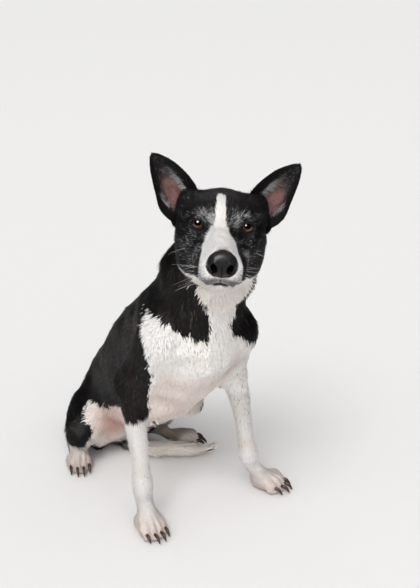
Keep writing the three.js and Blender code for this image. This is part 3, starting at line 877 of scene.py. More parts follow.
# Borders of the markings, as pairs of numbers in millimetres. On the head they are in its own frame.
BLAZE_MIDDLE = [(-45, -0.8), (-28, -4.2), (-18, -5.2), (-7, -3.4), (5, -3.5), (40, -4)]
BLAZE_HALF_WIDTH = [
    (-44, 60), (-38, 40), (-33, 33.5), (-28, 28), (-18, 20),
    (-7, 11.4), (0, 8.6), (6, 7.0), (22, 6.0), (40, 5.4),
]
MUZZLE_END = [(-78, -24), (-60, -31), (-45, -29), (-30, -12)]
UNDER_JAW = [
    (-80, -62), (-40, -66), (0, -70), (12, -69.5), (20, -66), (30, -61), (45, -56), (60, -53), (80, -56),
]
THROAT_RIGHT = [
    (340, -66), (352, -54), (361, -49), (370, -46), (382, -45), (395, -45),
    (405, -48), (423, -55), (436, -63), (450, -67), (458, -60), (470, -50),
]
THROAT_LEFT = [
    (335, 30), (345, 10), (352, -3), (363, -8), (374, -10), (384, -9),
    (390, -5), (423, 2), (439, 12), (455, 16), (466, 5),
]
THROAT_REAR = [(372, -95), (402, -132)]
BIB_TOP = [
    (-115, 391), (-107, 391), (-101, 387), (-93, 381), (-85, 372), (-74, 372), (-67, 364),
    (-55, 361), (-20, 364), (-1, 358), (6, 352), (22, 342), (50, 326), (70, 312),
]
BIB_EDGE = [(249, 2), (293, 7.5), (340, 4), (358, 1), (368, -3), (385, 5)]
BIB_REAR = [(200, 60), (240, -20), (330, -55)]
BELLY_LINE = [
    (-81, 340), (-28, 296), (31, 236), (60, 228), (80, 219), (103, 205), (140, 158), (167, 116), (197, 88),
]
INNER_THIGH_EDGE = [(40, -133), (67, -122), (81, -112), (94, -116), (105, -110), (119, -103)]


def least(*values):
    return np.minimum.reduce(np.broadcast_arrays(*values))


def white_on_head(h):
    """How far inside the white a point of the head is, in millimetres."""
    x, y, z = h.T
    aside = np.abs(x - read(BLAZE_MIDDLE, z))
    blaze = least(read(BLAZE_HALF_WIDTH, z) - aside, 0.8 * (12 - y) - 0.1 * aside**2)
    blaze = least(blaze, np.where(z < -28, read(MUZZLE_END, z) - y, 60.0))
    under = read(UNDER_JAW, y) - z
    under = np.where(x < -33, least(under, 5.5 - under), under)
    return np.maximum(blaze, least(under, 58 - y))


def white_on_front(f):
    """The white of the throat and chest, in the model's own millimetres."""
    x, y, z = f.T
    throat = least(x - read(THROAT_RIGHT, z), read(THROAT_LEFT, z) - x, read(THROAT_REAR, z) - y)
    inward = 0.85 * (x + 120) - 0.5 * (y + 95) - read(BIB_EDGE, z)
    rear = np.where(x > 0, read(BIB_REAR, z) - y, -62 - y)
    return np.maximum(throat, least(read(BIB_TOP, x) - z, inward, rear))


def white_below(f):
    """The white of the belly: how far a point of the trunk is below the body's middle line."""
    return 0.77 * (read(BELLY_LINE, f[:, 1]) - f[:, 2]) - 52


def inside_ball(f, middle, size):
    """1 at a ball's middle and 0 at its surface; size may differ by direction."""
    return 1 - np.linalg.norm((f - middle) / size, axis=1)


ALL_WHITE, ALL_BLACK = 60, -60.0


def whiteness(places, parts):
    """How far inside the white a point is, in millimetres; below 0 it is in the black."""
    f = places / MM
    x, y, z = f.T
    kind = np.array([without_side(n) for n in parts])
    left = np.array([n.endswith("_left") for n in parts])
    white = np.full(len(f), ALL_BLACK)

    def put(where, value):
        white[where] = np.broadcast_to(value, len(f))[where]

    put(np.isin(kind, HEAD_NODES), white_on_head(HEAD.inside(places)))
    front = white_on_front(f)
    put(kind == "neck", front)
    fold = 22 * inside_ball(f, (-96, 110, 106), (24, 40, 23))
    put(kind == "trunk", np.maximum(np.maximum(front, white_below(f)), fold))
    cuff = 196 - z - 0.006 * (x + 118) ** 2
    put((kind == "upper_arm") & ~left, np.where(z < 232, cuff, least(front, z - 225)))
    put((kind == "upper_arm") & left, np.maximum(front, 238 - z))
    put(kind == "forearm", np.where(left, ALL_WHITE, cuff))
    put(np.isin(kind, ["forepaw", "hindpaw"]), ALL_WHITE)
    inner = least(x - read(INNER_THIGH_EDGE, z), 172 - y, z - 5, 116 - z + 0.25 * (x + 110))
    put((kind == "thigh") & ~left, inner)
    put((kind == "hindpaw") & ~left, np.maximum(52 - z, inner))
    knee = 70 * inside_ball(f, (48, 92, 70), (62, 76, 76))
    put((kind == "thigh") & left, least(78 - x, knee))
    put((kind == "shank") & ~left, np.maximum(inner, 42 - z))
    put((kind == "shank") & left, np.maximum(95 - x, 60 - z))
    put(kind == "tail_tip", x + 30)
    put(kind == "tail_middle", least(x + 42, 236 - y))
    straight = np.isin(kind, [*HEAD_NODES, "forepaw", "hindpaw", "tail_tip"])
    rear = ramp(x + 0.5 * y, 30, 90) * ~straight
    return white + 8 * rear * waves(places, 55 * MM, seed=31)


BARE_PATCHES = [  # share, place, size and the nodes it lies on
    (1.1, (-84, 132, 84), (30, 36, 40), ["thigh_right", "shank_right", "trunk"]),
    (0.95, (-48, 100, 76), (52, 60, 40), ["trunk", "thigh_left", "thigh_right"]),
    (0.95, (-88, 96, 134), (18, 36, 24), ["trunk", "thigh_right"]),
    (0.3, (-58, -60, 210), (54, 70, 60), ["trunk"]),
    (0.85, (78, 92, 92), (30, 26, 26), ["thigh_left", "trunk"]),
]
GREY_AND_SHADE_PATCHES = [
    (0.7, (88, 98, 99), (10, 16, 10), ["shank_left", "thigh_left"]),
    # the left armpit: a greyish tone of its own, deepened as painted shade in the crease
    (0.6, (10, -122, 290), (26, 40, 34), ["upper_arm_left", "forearm_left", "trunk"]),
]
GRIZZLE_PATCHES = [  # in the head's frame, for both sides
    (0.95, (17, -16, 7), (9, 14, 12), HEAD_NODES),
    (0.9, (31, -6, 14.5), (13, 9, 5), HEAD_NODES),
    (0.6, (21, -28, -12), (8, 16, 12), HEAD_NODES),
    (0.65, (31, -32, -38), (9, 22, 16), HEAD_NODES),
    (0.2, (50, 10, 6), (10, 16, 16), HEAD_NODES),
]


def patches(f, parts, table):
    """The largest share that a table's patches give at each point."""
    shares = [share * near_to(f, place, size) * np.isin(parts, nodes) for share, place, size, nodes in table]
    return np.maximum.reduce(shares)


def bareness(f, parts):
    """Share of thinly haired pink skin: the inner thighs, the groin and the rear of the belly."""
    return patches(f, parts, BARE_PATCHES)


def blush(f, parts):
    """Share of pink skin seen through the white hair: the chest's underside and the toes."""
    low = 0.27 * ramp(312 - f[:, 2], 0, 42) * (parts == "trunk")
    toes = 0.3 * ramp(50 - f[:, 2], 0, 35) * (np.isin(parts, PAWS) & (parts != "hindpaw_left"))
    legs = 0.05 * np.isin(parts, ["forearm_left", "forearm_right", "upper_arm_left"])
    return np.maximum(np.maximum(low, toes), legs)


PAW_GREY = {"hindpaw_left": 0.4, "hindpaw_right": 0.42, "forepaw_left": 0.24, "forepaw_right": 0.24}


def greyness(f, parts):
    """Share of fawn grey in the white: the left hind foot, the knee's end and the left armpit, whose grey is
    partly painted shade in its crease.
    """
    foot = np.isin(parts, ["hindpaw_left", "shank_left"]) * ramp(f[:, 1], 116, 140)
    foot = np.maximum(foot, np.array([PAW_GREY.get(n, 0) for n in parts]))
    return np.maximum(foot, patches(f, parts, GREY_AND_SHADE_PATCHES))


def toe_gaps(places, parts):
    """Share of the reddish tone between the toes: reddish hair, darkened as painted shade in the grooves."""
    share = np.zeros(len(places))
    for paw in PAWS:
        mine = np.nonzero(parts == paw)[0]
        share[mine] = gaps_of(places[mine], paw)
    return share * ramp(places[:, 2], 36 * MM, 26 * MM)


def on_eyes(h):
    """How far points are from the eyes' openings: 1 at their rims, and 9 away from the eyes."""
    nearest = np.full(len(h), 9.0)
    for side in SIDES:
        d, _, front, reach = eye_place(h, side)
        close = (front > 0) & (np.linalg.norm(d, axis=1) < EYE_REGION)
        nearest = np.where(close, np.minimum(nearest, reach), nearest)
    return nearest


def grizzle(h, parts):
    """Share of white hairs in the black of the face."""
    m = both_sides(h)
    cheek = np.where(h[:, 0] > 0, 0.2, 0.36) * near_to(m, (42, -10, -32), (15, 26, 26))
    share = np.maximum(patches(m, parts, GRIZZLE_PATCHES), cheek)
    patchy = np.clip(0.8 + 0.55 * waves(HEAD.outside(h), 13 * MM, seed=17), 0, 1.3)
    return np.clip(share * patchy, 0, 0.95) * (m[:, 0] > 4) * np.isin(parts, HEAD_NODES)


def lip_grey_and_crease_shade(m):
    """Where dark skin shows through the short hair under the nose, with painted shade where the fur meets the
    top of the nose leather.
    """
    band = 1.5 * near_to(m, (6, -82, -66.5), (12, 9, 5.2)) + 1.2 * near_to(m, (18, -80, -69), (9, 10, 5))
    # painted shade: a dark band in the crease where the muzzle's fur meets the top of the nose leather
    return np.clip(band + 0.75 * near_to(m, (0, -88, -24), (10, 8, 3.0)), 0, 1)


def dark_hair(places, h, on_head, dice):
    """The black coat's colour: browner in waves, a brownish cast that is partly painted sheen, and a painted
    grey sheen on the crown.
    """
    # a brownish cast in broad waves, partly the coat's own colour and partly painted sheen
    brown = np.clip(0.25 + 0.5 * waves(places, 60 * MM, seed=5), 0, 1) * np.where(on_head, 0.35, 0.8)
    # painted sheen: the crown's black hair is greyed where light falls on the top of the head
    crown = near_to(h, (-4, 24, 42), (38, 34, 26)) * on_head
    crown = crown * np.clip(0.6 + 0.5 * dice.normal(size=len(places)), 0, 1.5)
    return mix(mix(BLACK, BROWN_BLACK, brown), CROWN_SHEEN, np.clip(crown, 0, 1))


def pale_hair(places, h, parts, on_head):
    """The white coat's colour, warmer on the tail, pink where the hair is thin, and a darker cream under the
    chin that is partly painted shade.
    """
    f = places / MM
    warm = np.where(np.isin(parts, ["trunk", "neck"]), 0.25, 0.1)
    warm = np.where(np.isin(parts, ["tail_tip", "tail_middle"]), 0.75, warm)
    warm = np.clip(warm + 0.2 * waves(places, 70 * MM, seed=9), 0, 1)
    thigh = near_to(f, (-78, 118, 96), (22, 40, 34)) * np.isin(parts, ["thigh_right", "trunk"])
    # Partly painted shade: the upper throat and the chin's underside, in the head's shadow, take a darker
    # cream.
    throat = (parts == "neck") * ramp(f[:, 2], 395, 440)
    throat = throat + on_head * ramp(-h[:, 2], 73, 78) * ramp(h[:, 1], -76, -64)
    muzzle = near_to(both_sides(h), (22, -74, -56), (10, 24, 15)) * on_head
    pale = mix(WHITE, CREAM, warm)
    for tone, share in (
        (PINK, blush(f, parts)),
        (mix(CREAM, PINK, 0.5), np.clip(0.9 * bareness(f, parts), 0, 1)),
        (INNER_THIGH, 0.75 * thigh),
        (0.88 * CREAM, 0.5 * throat),
        (COOL, 0.6 * muzzle),
        (FAWN, greyness(f, parts)),
    ):
        pale = mix(pale, tone, share)
    return pale


def speck_chance(f, m, parts, on_head):
    """How likely a white hair is a dark one: dots on the muzzle and ticks on the forelegs."""
    dots = 1.4 * near_to(m, (21, -76, -60), (12, 20, 11)) + 1.3 * near_to(m, (20, -76, -69), (8, 12, 3.5))
    ticks = 0.006 * np.isin(parts, ["forearm_left", "forearm_right"])
    inner = np.isin(parts, ["forearm_left", "upper_arm_left"])
    ticks = ticks + 0.035 * near_to(f, (60, -70, 200), (24, 40, 70)) * inner
    return 0.3 * dots * on_head + ticks


def hair_colour(places, parts, dice):
    """Colour of the hair that grows at each place, and which hairs are grey ones in the black."""
    count = len(places)
    h = HEAD.inside(places)
    m = both_sides(h)
    on_head = np.isin(parts, HEAD_NODES)
    ragged = np.where(on_head, 0.8, 2.4)
    border = whiteness(places, parts) + ragged * waves(places, 14 * MM, seed=3)
    is_white = border + ragged * 0.6 * dice.normal(size=count) > 0
    colour = dark_hair(places, h, on_head, dice)
    grey = (dice.random(count) < grizzle(h, parts)) & ~is_white
    silver = near_to(m, (20, -12, 10), (18, 20, 14)) + near_to(m, (30, -40, -40), (9, 20, 14))
    silver = (0.4 + 0.6 * np.clip(silver, 0, 1)) * dice.random(count) ** 0.75
    colour = np.where(grey[:, None], mix(0.55 * GREY, 0.85 * WHITE, silver), colour)
    pale = pale_hair(places, h, parts, on_head)
    speck = dice.random(count) < speck_chance(places / MM, m, parts, on_head)
    pale = np.where(speck[:, None], 0.13 * pale, pale)
    colour = np.where(is_white[:, None], pale, colour)
    colour = mix(colour, LIP_GREY_AND_SHADE, 0.8 * lip_grey_and_crease_shade(m) * on_head * is_white)
    # Painted shade: a shadow line along the mouth and the flews' lower edge, over the dark lip.
    lip, where = from_lip(m)
    colour = mix(colour, LIP_GREY_AND_SHADE, 0.8 * bump(lip - 1.3, 2.3) * (1 - ramp(where, 0.45, 0.7)) * on_head)
    # Painted sheen: a few lighter brown hairs stand for glints of light along the black coat.
    sheen_hairs = (dice.random(count) < 0.07) & ~is_white & ~on_head
    colour = np.where(sheen_hairs[:, None], 2.4 * BROWN_BLACK, colour)
    shade = 1 + np.where(is_white, 0.06, 0.35) * dice.normal(size=count)
    return np.clip(colour * shade[:, None], 0.003, 0.93), grey


def skin_colour(places, parts):
    """Colour of the skin with the short hair that lies flat on it."""
    f, h = places / MM, HEAD.inside(places)
    m = both_sides(h)
    on_head = np.isin(parts, HEAD_NODES)
    border = np.where(on_head, 0.6, 2.0) * waves(places, 14 * MM, seed=3)
    white = ramp(whiteness(places, parts) + border, -0.8, 0.8)
    pale = mix(np.repeat(mix(0.92 * WHITE, CREAM, 0.25)[None], len(h), 0), FAWN, greyness(f, parts))
    pale = mix(pale, PINK, 1.3 * blush(f, parts))
    colour = mix(mix(BLACK, GREY, 0.4 * grizzle(h, parts)), pale, white)
    colour = mix(colour, PINK, np.clip(1.3 * bareness(f, parts) * white, 0, 0.95))
    reach = on_eyes(h)
    lid = ramp(reach, 1.95, 1.5) * ramp(reach, 1.2, 1.4) * near_to(m, (43, 0, -9), (9, 14, 9))
    lip, where = from_lip(m)
    front = 1 - ramp(where, 0.1, 0.2)
    groove, _ = along_line(h, LINES["philtrum"])
    for tone, share in (
        (LIP_GREY_AND_SHADE, 0.8 * lip_grey_and_crease_shade(m)),
        (LID_EDGE, 0.7 * lid),
        (LID_BLACK, ramp(reach, 1.34, 1.16)),
        (LIP_EDGE, 0.8 * ramp(lip, 3.2, 2.2) * (1 - ramp(where, 0.2, 0.35))),
        # the black lip on the mouth's line, made darker still as painted shade in its crease
        (0.15 * DARK_SKIN, ramp(lip, 1.4 + 0.5 * front, 0.9 + 0.2 * front)),
        (DARK_SKIN, ramp(groove, 1.5, 0.5)),
        (DARK_SKIN, ramp(to_nose(h), 1.09, 1.0)),
    ):
        colour = mix(colour, tone, share * on_head)
    # reddish hair, with painted shade in the grooves between the toes
    colour = mix(colour, TOE_RED, 0.8 * toe_gaps(places, parts))
    return mix(colour, DARK_SKIN, np.isin(parts, PAWS) * ramp(f[:, 2], 5.5, 3.0))


# ---------- the coat ----------
LENGTH = {  # of the hair, in millimetres
    "head": 7.0, "nose": 3.0, "ear": 3.4, "neck": 19.0, "trunk": 15.0, "forepaw": 4.2, "forearm": 7.0,
    "upper_arm": 11.0, "thigh": 14.0, "shank": 9.0, "hindpaw": 4.2, "tail_base": 18.0, "tail_middle": 20.0,
    "tail_tip": 19.0,
}
PER_CM2 = {  # tufts
    "head": 90.0, "nose": 90.0, "ear": 70.0, "neck": 26.0, "trunk": 22.0, "forepaw": 80.0, "forearm": 64.0,
    "upper_arm": 26.0, "thigh": 24.0, "shank": 48.0, "hindpaw": 80.0, "tail_base": 26.0, "tail_middle": 30.0,
    "tail_tip": 36.0,
}
PIECE_NAMES = {
    "upper_arm": "arm", "forearm": "foreleg", "forepaw": "foreleg",
    "thigh": "thigh", "shank": "hindfoot", "hindpaw": "hindfoot",
}
SHORT = ("coat_face", "coat_crown", "coat_ear", "coat_foreleg", "coat_hindfoot")  # with straight tufts
FACE_END = 22  # along the head, where the crown's piece begins
CHEST_END, SPINE = -55 * MM, -40 * MM  # borders of the trunk's pieces
FACE_LENGTH = [(-90, 2.4), (-60, 3.0), (-20, 4.4), (20, 6.5), (60, 9.0), (95, 13.0)]  # along the head
FACE_PER_CM2 = [(-90, 150), (-40, 120), (20, 90), (60, 62), (95, 46)]
MOST_TRIANGLES = 195000  # in one piece
PATCH = 0.0014  # half the size of a tuft's patch on the bake map
TUFT_WIDTH = 7.4  # half of it for one tuft in a square centimetre
THIN_WIDTH = 0.53  # of grey and pale hairs, as a share
BOX_MARGINS = (np.array([0.2, 0.2, 0.4]) * MM, -0.2 * MM)  # kept clear inside the model's box


def by_part(table, parts):
    return np.array([table[without_side(n)] for n in parts])


def inner_ear(h, parts, normal):
    """Share of the ear's hollow side at each point, with its place across and along the flap."""
    share, across, along = np.zeros((3, len(h)))
    ears = np.nonzero(np.isin(parts, EARS))[0]
    if len(ears):
        u, t = ear_place(h[ears])
        facing = -(normal[ears] @ HEAD.axes)[:, 1]
        edges = ramp(u, 0.02, 0.1) * ramp(0.985 - u, 0.0, 0.07) * ramp(t, 0.02, 0.08)
        share[ears] = ramp(facing, -0.15, 0.25) * edges
        across[ears], along[ears] = u, t
    return share, across, along


def ear_fringe(across, along):
    """Where the long pale hairs stand inside the ear."""
    inner = bump(across - 0.22, 0.03) * ramp(along, 0.24, 0.34) * (1 - ramp(along, 0.5, 0.72))
    outer = 0.6 * bump(across - 0.8, 0.05) * ramp(along, 0.26, 0.34) * (1 - ramp(along, 0.42, 0.56))
    return np.maximum(inner, outer)


def bare_ear(across, along):
    """Where the ear's hollow shows its skin."""
    middle = ramp(across, 0.22, 0.36) * ramp(0.84 - across, 0, 0.16)
    return middle * ramp(along, 0.2, 0.3) * (1 - ramp(along, 0.52, 0.76))


THIN_LENGTH = 5.0  # of the hair where the skin is nearly bare


def hair_fields(places, normal, parts, web):
    """Length in millimetres and tufts per square centimetre at every vertex of the skin."""
    f, h = places / MM, HEAD.inside(places)
    length, count = by_part(LENGTH, parts), by_part(PER_CM2, parts)
    on_head = np.isin(parts, HEAD_NODES)
    face = read(FACE_LENGTH, h[:, 1])
    face += 8 * ramp(h[:, 1], 35, 75) * ramp(-h[:, 2], 20, 60)
    face += 5 * ramp(-h[:, 2], 74, 82) * ramp(h[:, 1], -74, -55)
    length = np.where(on_head, face, length)
    count = np.where(on_head, read(FACE_PER_CM2, h[:, 1]), count)
    chest = ramp(-f[:, 1], 40, 75) * ramp(whiteness(places, parts), -12, 6)
    chest = chest * np.isin(parts, ["trunk", "neck"])
    length = length * (1 - 0.28 * chest)
    count = count * (1 + 0.75 * chest)
    bare = bareness(f, parts)
    length = length + (THIN_LENGTH - length) * np.clip(1.2 * bare, 0, 1)
    tip = (parts == "tail_tip") * ramp(f[:, 0], 40, 95)
    length = length * (1 + 0.3 * np.isin(parts, ["tail_tip", "tail_middle"]) - 0.6 * tip)
    length, count = web.spread(length, 4), web.spread(count, 4)
    reach = on_eyes(h)
    lip, _ = from_lip(both_sides(h))
    length = length * (0.4 + 0.6 * ramp(reach, 1.3, 2.4))
    length = length * np.where(on_head, 0.45 + 0.55 * ramp(lip, 1.5, 7), 1)
    front = ramp(h[:, 1], -66, -78)
    face = ramp(to_nose(h), 0.99, 1.04) * ramp(lip, 1.2 + 0.5 * front, 2.0 + 0.8 * front)
    grows = ramp(reach, 1.2, 1.34) * ramp(f[:, 2], 2.5, 6) * np.where(on_head, face, 1)
    hollow, across, along = inner_ear(h, parts, normal)
    fringe = hollow * ear_fringe(across, along)
    grows = grows * (1 - 0.78 * hollow * bare_ear(across, along)) * (1 + 1.4 * fringe)
    return length + 8 * fringe, count * grows * (1 + 0.4 * bare)


def piece_of(places, parts):
    """Which coat piece each tuft belongs to."""
    names = []
    for place, (across, along, _), part in zip(places, HEAD.inside(places), parts):
        kind = without_side(part)
        if kind in HEAD_NODES and along >= FACE_END:
            name = "crown"
        elif kind in HEAD_NODES:
            name = "face_left" if across > 0 else "face_right"
        elif kind == "trunk" and place[1] < CHEST_END:
            name = "chest"
        elif kind == "trunk":
            name = "flank_left" if place[0] > SPINE else "flank_right"
        elif kind in PIECE_NAMES:
            name = PIECE_NAMES[kind] + "_" + part.split("_")[-1]
        else:
            name = kind.split("_")[0]
        names.append("coat_" + name)
    return np.array(names)


class Surface:
    """The finished skin as triangles, to plant hair on."""

    def __init__(self, made):
        mesh = made.data
        mesh.calc_loop_triangles()
        count = len(mesh.loop_triangles)
        corners = np.empty(count * 3, np.int32)
        mesh.loop_triangles.foreach_get("vertices", corners)
        loops = np.empty(count * 3, np.int32)
        mesh.loop_triangles.foreach_get("loops", loops)
        uv = np.empty(len(mesh.loops) * 2, np.float32)
        mesh.uv_layers["OFBake"].data.foreach_get("uv", uv)
        self.corners = corners.reshape(-1, 3)
        self.uv = uv.reshape(-1, 2)[loops.reshape(-1, 3)]
        self.co = points_of(mesh)
        self.normal = normals_of(mesh)
        a, b, c = (self.co[self.corners[:, i]] for i in range(3))
        self.area = np.linalg.norm(np.cross(b - a, c - a), axis=1) / 2

    def plant(self, per_cm2, dice):
        """Triangles and shares of their corners for roots spread at a given density."""
        expected = self.area * 1e4 * per_cm2[self.corners].mean(1)
        total = np.cumsum(expected)
        roots = int(total[-1])
        steps = (np.arange(roots) + dice.random(roots)) * total[-1] / roots
        chosen = np.minimum(np.searchsorted(total, steps), len(expected) - 1)
        r, s = np.sqrt(dice.random(roots)), dice.random(roots)
        return chosen, np.stack([1 - r, r * (1 - s), r * s], 1)

    def blend(self, values, chosen, shares):
        picked = values[self.corners[chosen]]
        return np.einsum("nk,nk...->n...", shares, picked)


RING = [(1.0, 0.0), (0.0, 0.55), (-1.0, 0.0)]  # across and up, in half widths
LONG_FACES = [
    (0, 1, 4), (0, 4, 3), (1, 2, 5), (1, 5, 4), (2, 0, 3),
    (2, 3, 5), (3, 4, 6), (4, 5, 6), (5, 3, 6), (2, 1, 0),
]
SHORT_FACES = [(0, 1, 3), (1, 2, 3), (2, 0, 3), (2, 1, 0)]
# Painted shade: each lock is darker at its root, where the coat shades itself.
LONG_ROOT_SHADE = (0.84, 0.96, 1.0)  # of the hair's colour at root, middle and tip
SHORT_ROOT_SHADE = (0.9, 1.0)  # at root and tip


def ring_about(centre, half, across, normal):
    """Three corners of a flat lock, and the way each looks: mostly as the skin does, so the coat is soft."""
    points, facing = [], []
    for a, b in RING:
        points.append(centre + half[:, None] * (a * across + b * normal))
        facing.append(unit(0.86 * normal + 0.14 * unit(a * across + (b + 0.25) * normal)))
    return points, facing


def locks(root, normal, flow, length, width, lift, curl, short):
    """Points and normals of three-sided locks from their sunk roots to their tips."""
    across = np.cross(normal, flow)
    first = np.cos(lift)[:, None] * flow + np.sin(lift)[:, None] * normal
    points, facing = ring_about(root - 0.35 * MM * normal, 0.45 * width, across, normal)
    if short:
        tip = root + length[:, None] * first
    else:
        later = lift - curl
        second = np.cos(later)[:, None] * flow + np.sin(later)[:, None] * normal
        middle = root + 0.48 * length[:, None] * first
        more, looks = ring_about(middle, 0.5 * width, across, normal)
        points, facing = points + more, facing + looks
        tip = middle + 0.52 * length[:, None] * second
    points.append(tip)
    facing.append(unit(0.9 * normal + 0.2 * flow))
    return np.stack(points, 1), np.stack(facing, 1)


def mesh_of(name, points, faces, facing=None):
    mesh = bpy.data.meshes.new(name)
    mesh.vertices.add(len(points))
    mesh.vertices.foreach_set("co", np.ascontiguousarray(points, np.float32).ravel())
    mesh.loops.add(faces.size)
    mesh.loops.foreach_set("vertex_index", np.ascontiguousarray(faces, np.int32).ravel())
    mesh.polygons.add(len(faces))
    mesh.polygons.foreach_set("loop_start", np.arange(0, faces.size, 3, dtype=np.int32))
    mesh.polygons.foreach_set("use_smooth", np.ones(len(faces), bool))
    mesh.update(calc_edges=True)
    if facing is not None:
        mesh.normals_split_custom_set_from_vertices(facing.astype(np.float32))
    return mesh


def put_colours(mesh, name, colours):
    layer = mesh.color_attributes.new(name, "FLOAT_COLOR", "POINT")
    full = np.ones((len(colours), 4), np.float32)
    full[:, :3] = colours
    layer.data.foreach_set("color", full.ravel())


UV_RINGS = [(1, -1), (0, -1), (-1, -1), (1, 0), (0, 0), (-1, 0), (0, 1)]  # of a long tuft's corners


def coat_piece(name, points, facing, uv, colour, short, material):
    """One joined mesh of tufts, each on its own small patch of the bake map."""
    corners = np.array(SHORT_FACES if short else LONG_FACES)
    each = points.shape[1]
    faces = (np.arange(len(points))[:, None, None] * each + corners[None]).reshape(-1, 3)
    mesh = mesh_of(name, points.reshape(-1, 3), faces, facing.reshape(-1, 3))
    # painted shade at the roots of the locks
    shades = np.repeat(SHORT_ROOT_SHADE, (3, 1)) if short else np.repeat(LONG_ROOT_SHADE, (3, 3, 1))
    put_colours(mesh, "hair_colour", (colour[:, None] * shades[None, :, None]).reshape(-1, 3))
    rings = UV_RINGS[:3] + UV_RINGS[-1:] if short else UV_RINGS
    patch = (uv[:, None] + PATCH * np.array(rings)[None]).reshape(-1, 2)
    layer = mesh.uv_layers.new(name="OFBake")
    layer.data.foreach_set("uv", np.clip(patch[faces.ravel()], 0, 1).astype(np.float32).ravel())
    made = bpy.data.objects.new(name, mesh)
    bpy.context.scene.collection.objects.link(made)
    made.data.materials.append(material)
    return made


def across_ear(h, along):
    """The way from the ear's inner margin to its outer one, in the model's frame."""
    way = on_line(EAR_OUTER, along) - on_line(EAR_INNER, along)
    way[:, 0] *= np.sign(h[:, 0])
    return HEAD.turn(unit(way + np.array([0, 0, 12.0])))


def way_of_hair(root, n, flow, part, fringe, along, dice):
    """The way each tuft lies, and the skin's normal square to it."""
    share = 0.85 * fringe[:, None]
    d = unit(flow * (1 - share) + share * across_ear(HEAD.inside(root), along))
    yaw = 0.12 * dice.normal(size=len(root)) + 0.14 * waves(root, 45 * MM, seed=21)
    yaw = (yaw + 0.09 * waves(root, 14 * MM, seed=23))[:, None]
    d = unit(d * np.cos(yaw) + np.cross(n, d) * np.sin(yaw))
    d = unit(square_to(d, n))
    end = ((part == "tail_tip") * ramp(root[:, 0], 55 * MM, 75 * MM))[:, None]
    point = unit(spot("tail_tip", 1.0, 0.05, 0.6) - spot("tail_tip", 0.5, 0.3, 0.4))
    d = unit(d * (1 - end) + point * end)
    n = unit(square_to(n, d) + np.array([0, 0, 0.05]))
    return unit(square_to(d, n)), n


def grow_coat(made, parts, web, material):
    """All the hair on the skin, in pieces small enough to bake."""
    dice = np.random.default_rng(11)
    surface = Surface(made)
    co, normal = surface.co, surface.normal
    length, per_cm2 = hair_fields(co, normal, parts, web)
    depth = web.spread(by_part({**DEPTH, "ear": 0.9}, parts), 10)
    chosen, shares = surface.plant(per_cm2, dice)
    root, n, flow, long, depth = (
        surface.blend(values, chosen, shares)
        for values in (co, normal, lie_of_coat(co, normal, parts, web), length, depth)
    )
    n = unit(n)
    count = len(root)
    part = parts[surface.corners[chosen, np.argmax(shares, 1)]]
    names = piece_of(root, part)
    h = HEAD.inside(root)
    hollow, u, t = inner_ear(h, part, n)
    fringe = hollow * ear_fringe(u, t)
    d, n = way_of_hair(root, n, flow, part, fringe, t, dice)

    long = long * np.clip(1 + 0.2 * dice.normal(size=count), 0.5, 1.5)
    long = long * (1 + 0.1 * waves(root, 20 * MM, seed=25))
    on_head = np.isin(part, HEAD_NODES)
    dense = np.where(on_head, read(FACE_PER_CM2, h[:, 1]), by_part(PER_CM2, part))
    width = TUFT_WIDTH / np.sqrt(dense) * np.clip(1 + 0.25 * dice.normal(size=count), 0.5, 1.6)
    rise = np.clip(0.85 * depth / np.maximum(long, 1), 0.08, 0.55) + 0.2 * fringe
    rise = rise + 0.12 * np.isin(part, ["tail_tip", "tail_middle"]) * np.clip(n[:, 2], 0, 1)
    lift = np.arcsin(rise) + 0.05 * dice.normal(size=count) + 0.05 * waves(root, 24 * MM, seed=27)
    lift = np.maximum(lift, 0.05)
    curl = 0.26 + 0.08 * dice.normal(size=count)

    colour, grey = hair_colour(root, part, dice)
    stray = 0.2 * ramp(t, 0.5, 0.65) * bump(u - 0.4, 0.25) * (t < 0.9) + 0.45 * bare_ear(u, t)
    pale = dice.random(count) < 1.1 * fringe + hollow * stray
    bright = dice.random(count) * ramp(t, 0.7, 0.3) * (0.15 + 0.6 * np.clip(1.5 * fringe, 0, 1))
    colour = np.where(pale[:, None], mix(0.45 * GREY, WHITE, bright), colour)
    thin = grey | pale
    width = np.where(thin, THIN_WIDTH * width, width)
    long = np.where(thin, np.where(on_head, 0.95, 1.3) * long, long)
    low, high = (np.array(corner) + margin for corner, margin in zip(cad_box, BOX_MARGINS))
    uv = np.einsum("nk,nkj->nj", shares, surface.uv[chosen])
    pieces = []
    for name in sorted(set(names)):
        short = name.startswith(SHORT)
        most = MOST_TRIANGLES // len(SHORT_FACES if short else LONG_FACES)
        mine = np.nonzero(names == name)[0]
        if len(mine) > most:
            mine = mine[np.linspace(0, len(mine) - 1, most).astype(int)]
        shape = (root, n, d, long * MM, width * MM, lift, curl)
        points, facing = locks(*(value[mine] for value in shape), short)
        points = np.clip(points, low, high)
        pieces.append(coat_piece(name, points, facing, uv[mine], colour[mine], short, material))
    return pieces


# ---------- small parts of the head ----------
def gaze_of(side):
    """The way an eye looks, in the head's frame."""
    return unit(np.array([0.1 * SIGN[side], -0.97, 0.2]))


def frame_about(axis):
    """Two directions square to an axis in the head's frame: across and up."""
    across = unit(np.cross(axis, [0.0, 0.0, 1.0]))
    return across, np.cross(across, axis)


IRIS, PUPIL = 7.0, 4.3  # radii in millimetres
CORNEA = 0.7  # how far it stands out
FIBRES = (7, 11, 17, 23, 29, 37, 43, 51, 61)  # of the iris, in waves round it
IRIS_BROWN = np.array([0.058, 0.02, 0.009])
# the iris's paler amber, painted only on its lower side, out of the lid's shadow
IRIS_GLOW = np.array([0.17, 0.07, 0.03])
IRIS_EDGE = np.array([0.006, 0.0035, 0.003])
EYE_WHITE = np.array([0.028, 0.017, 0.016])  # dark, in the lids' shadow
PUPIL_BLACK = np.array([0.001, 0.001, 0.0014])


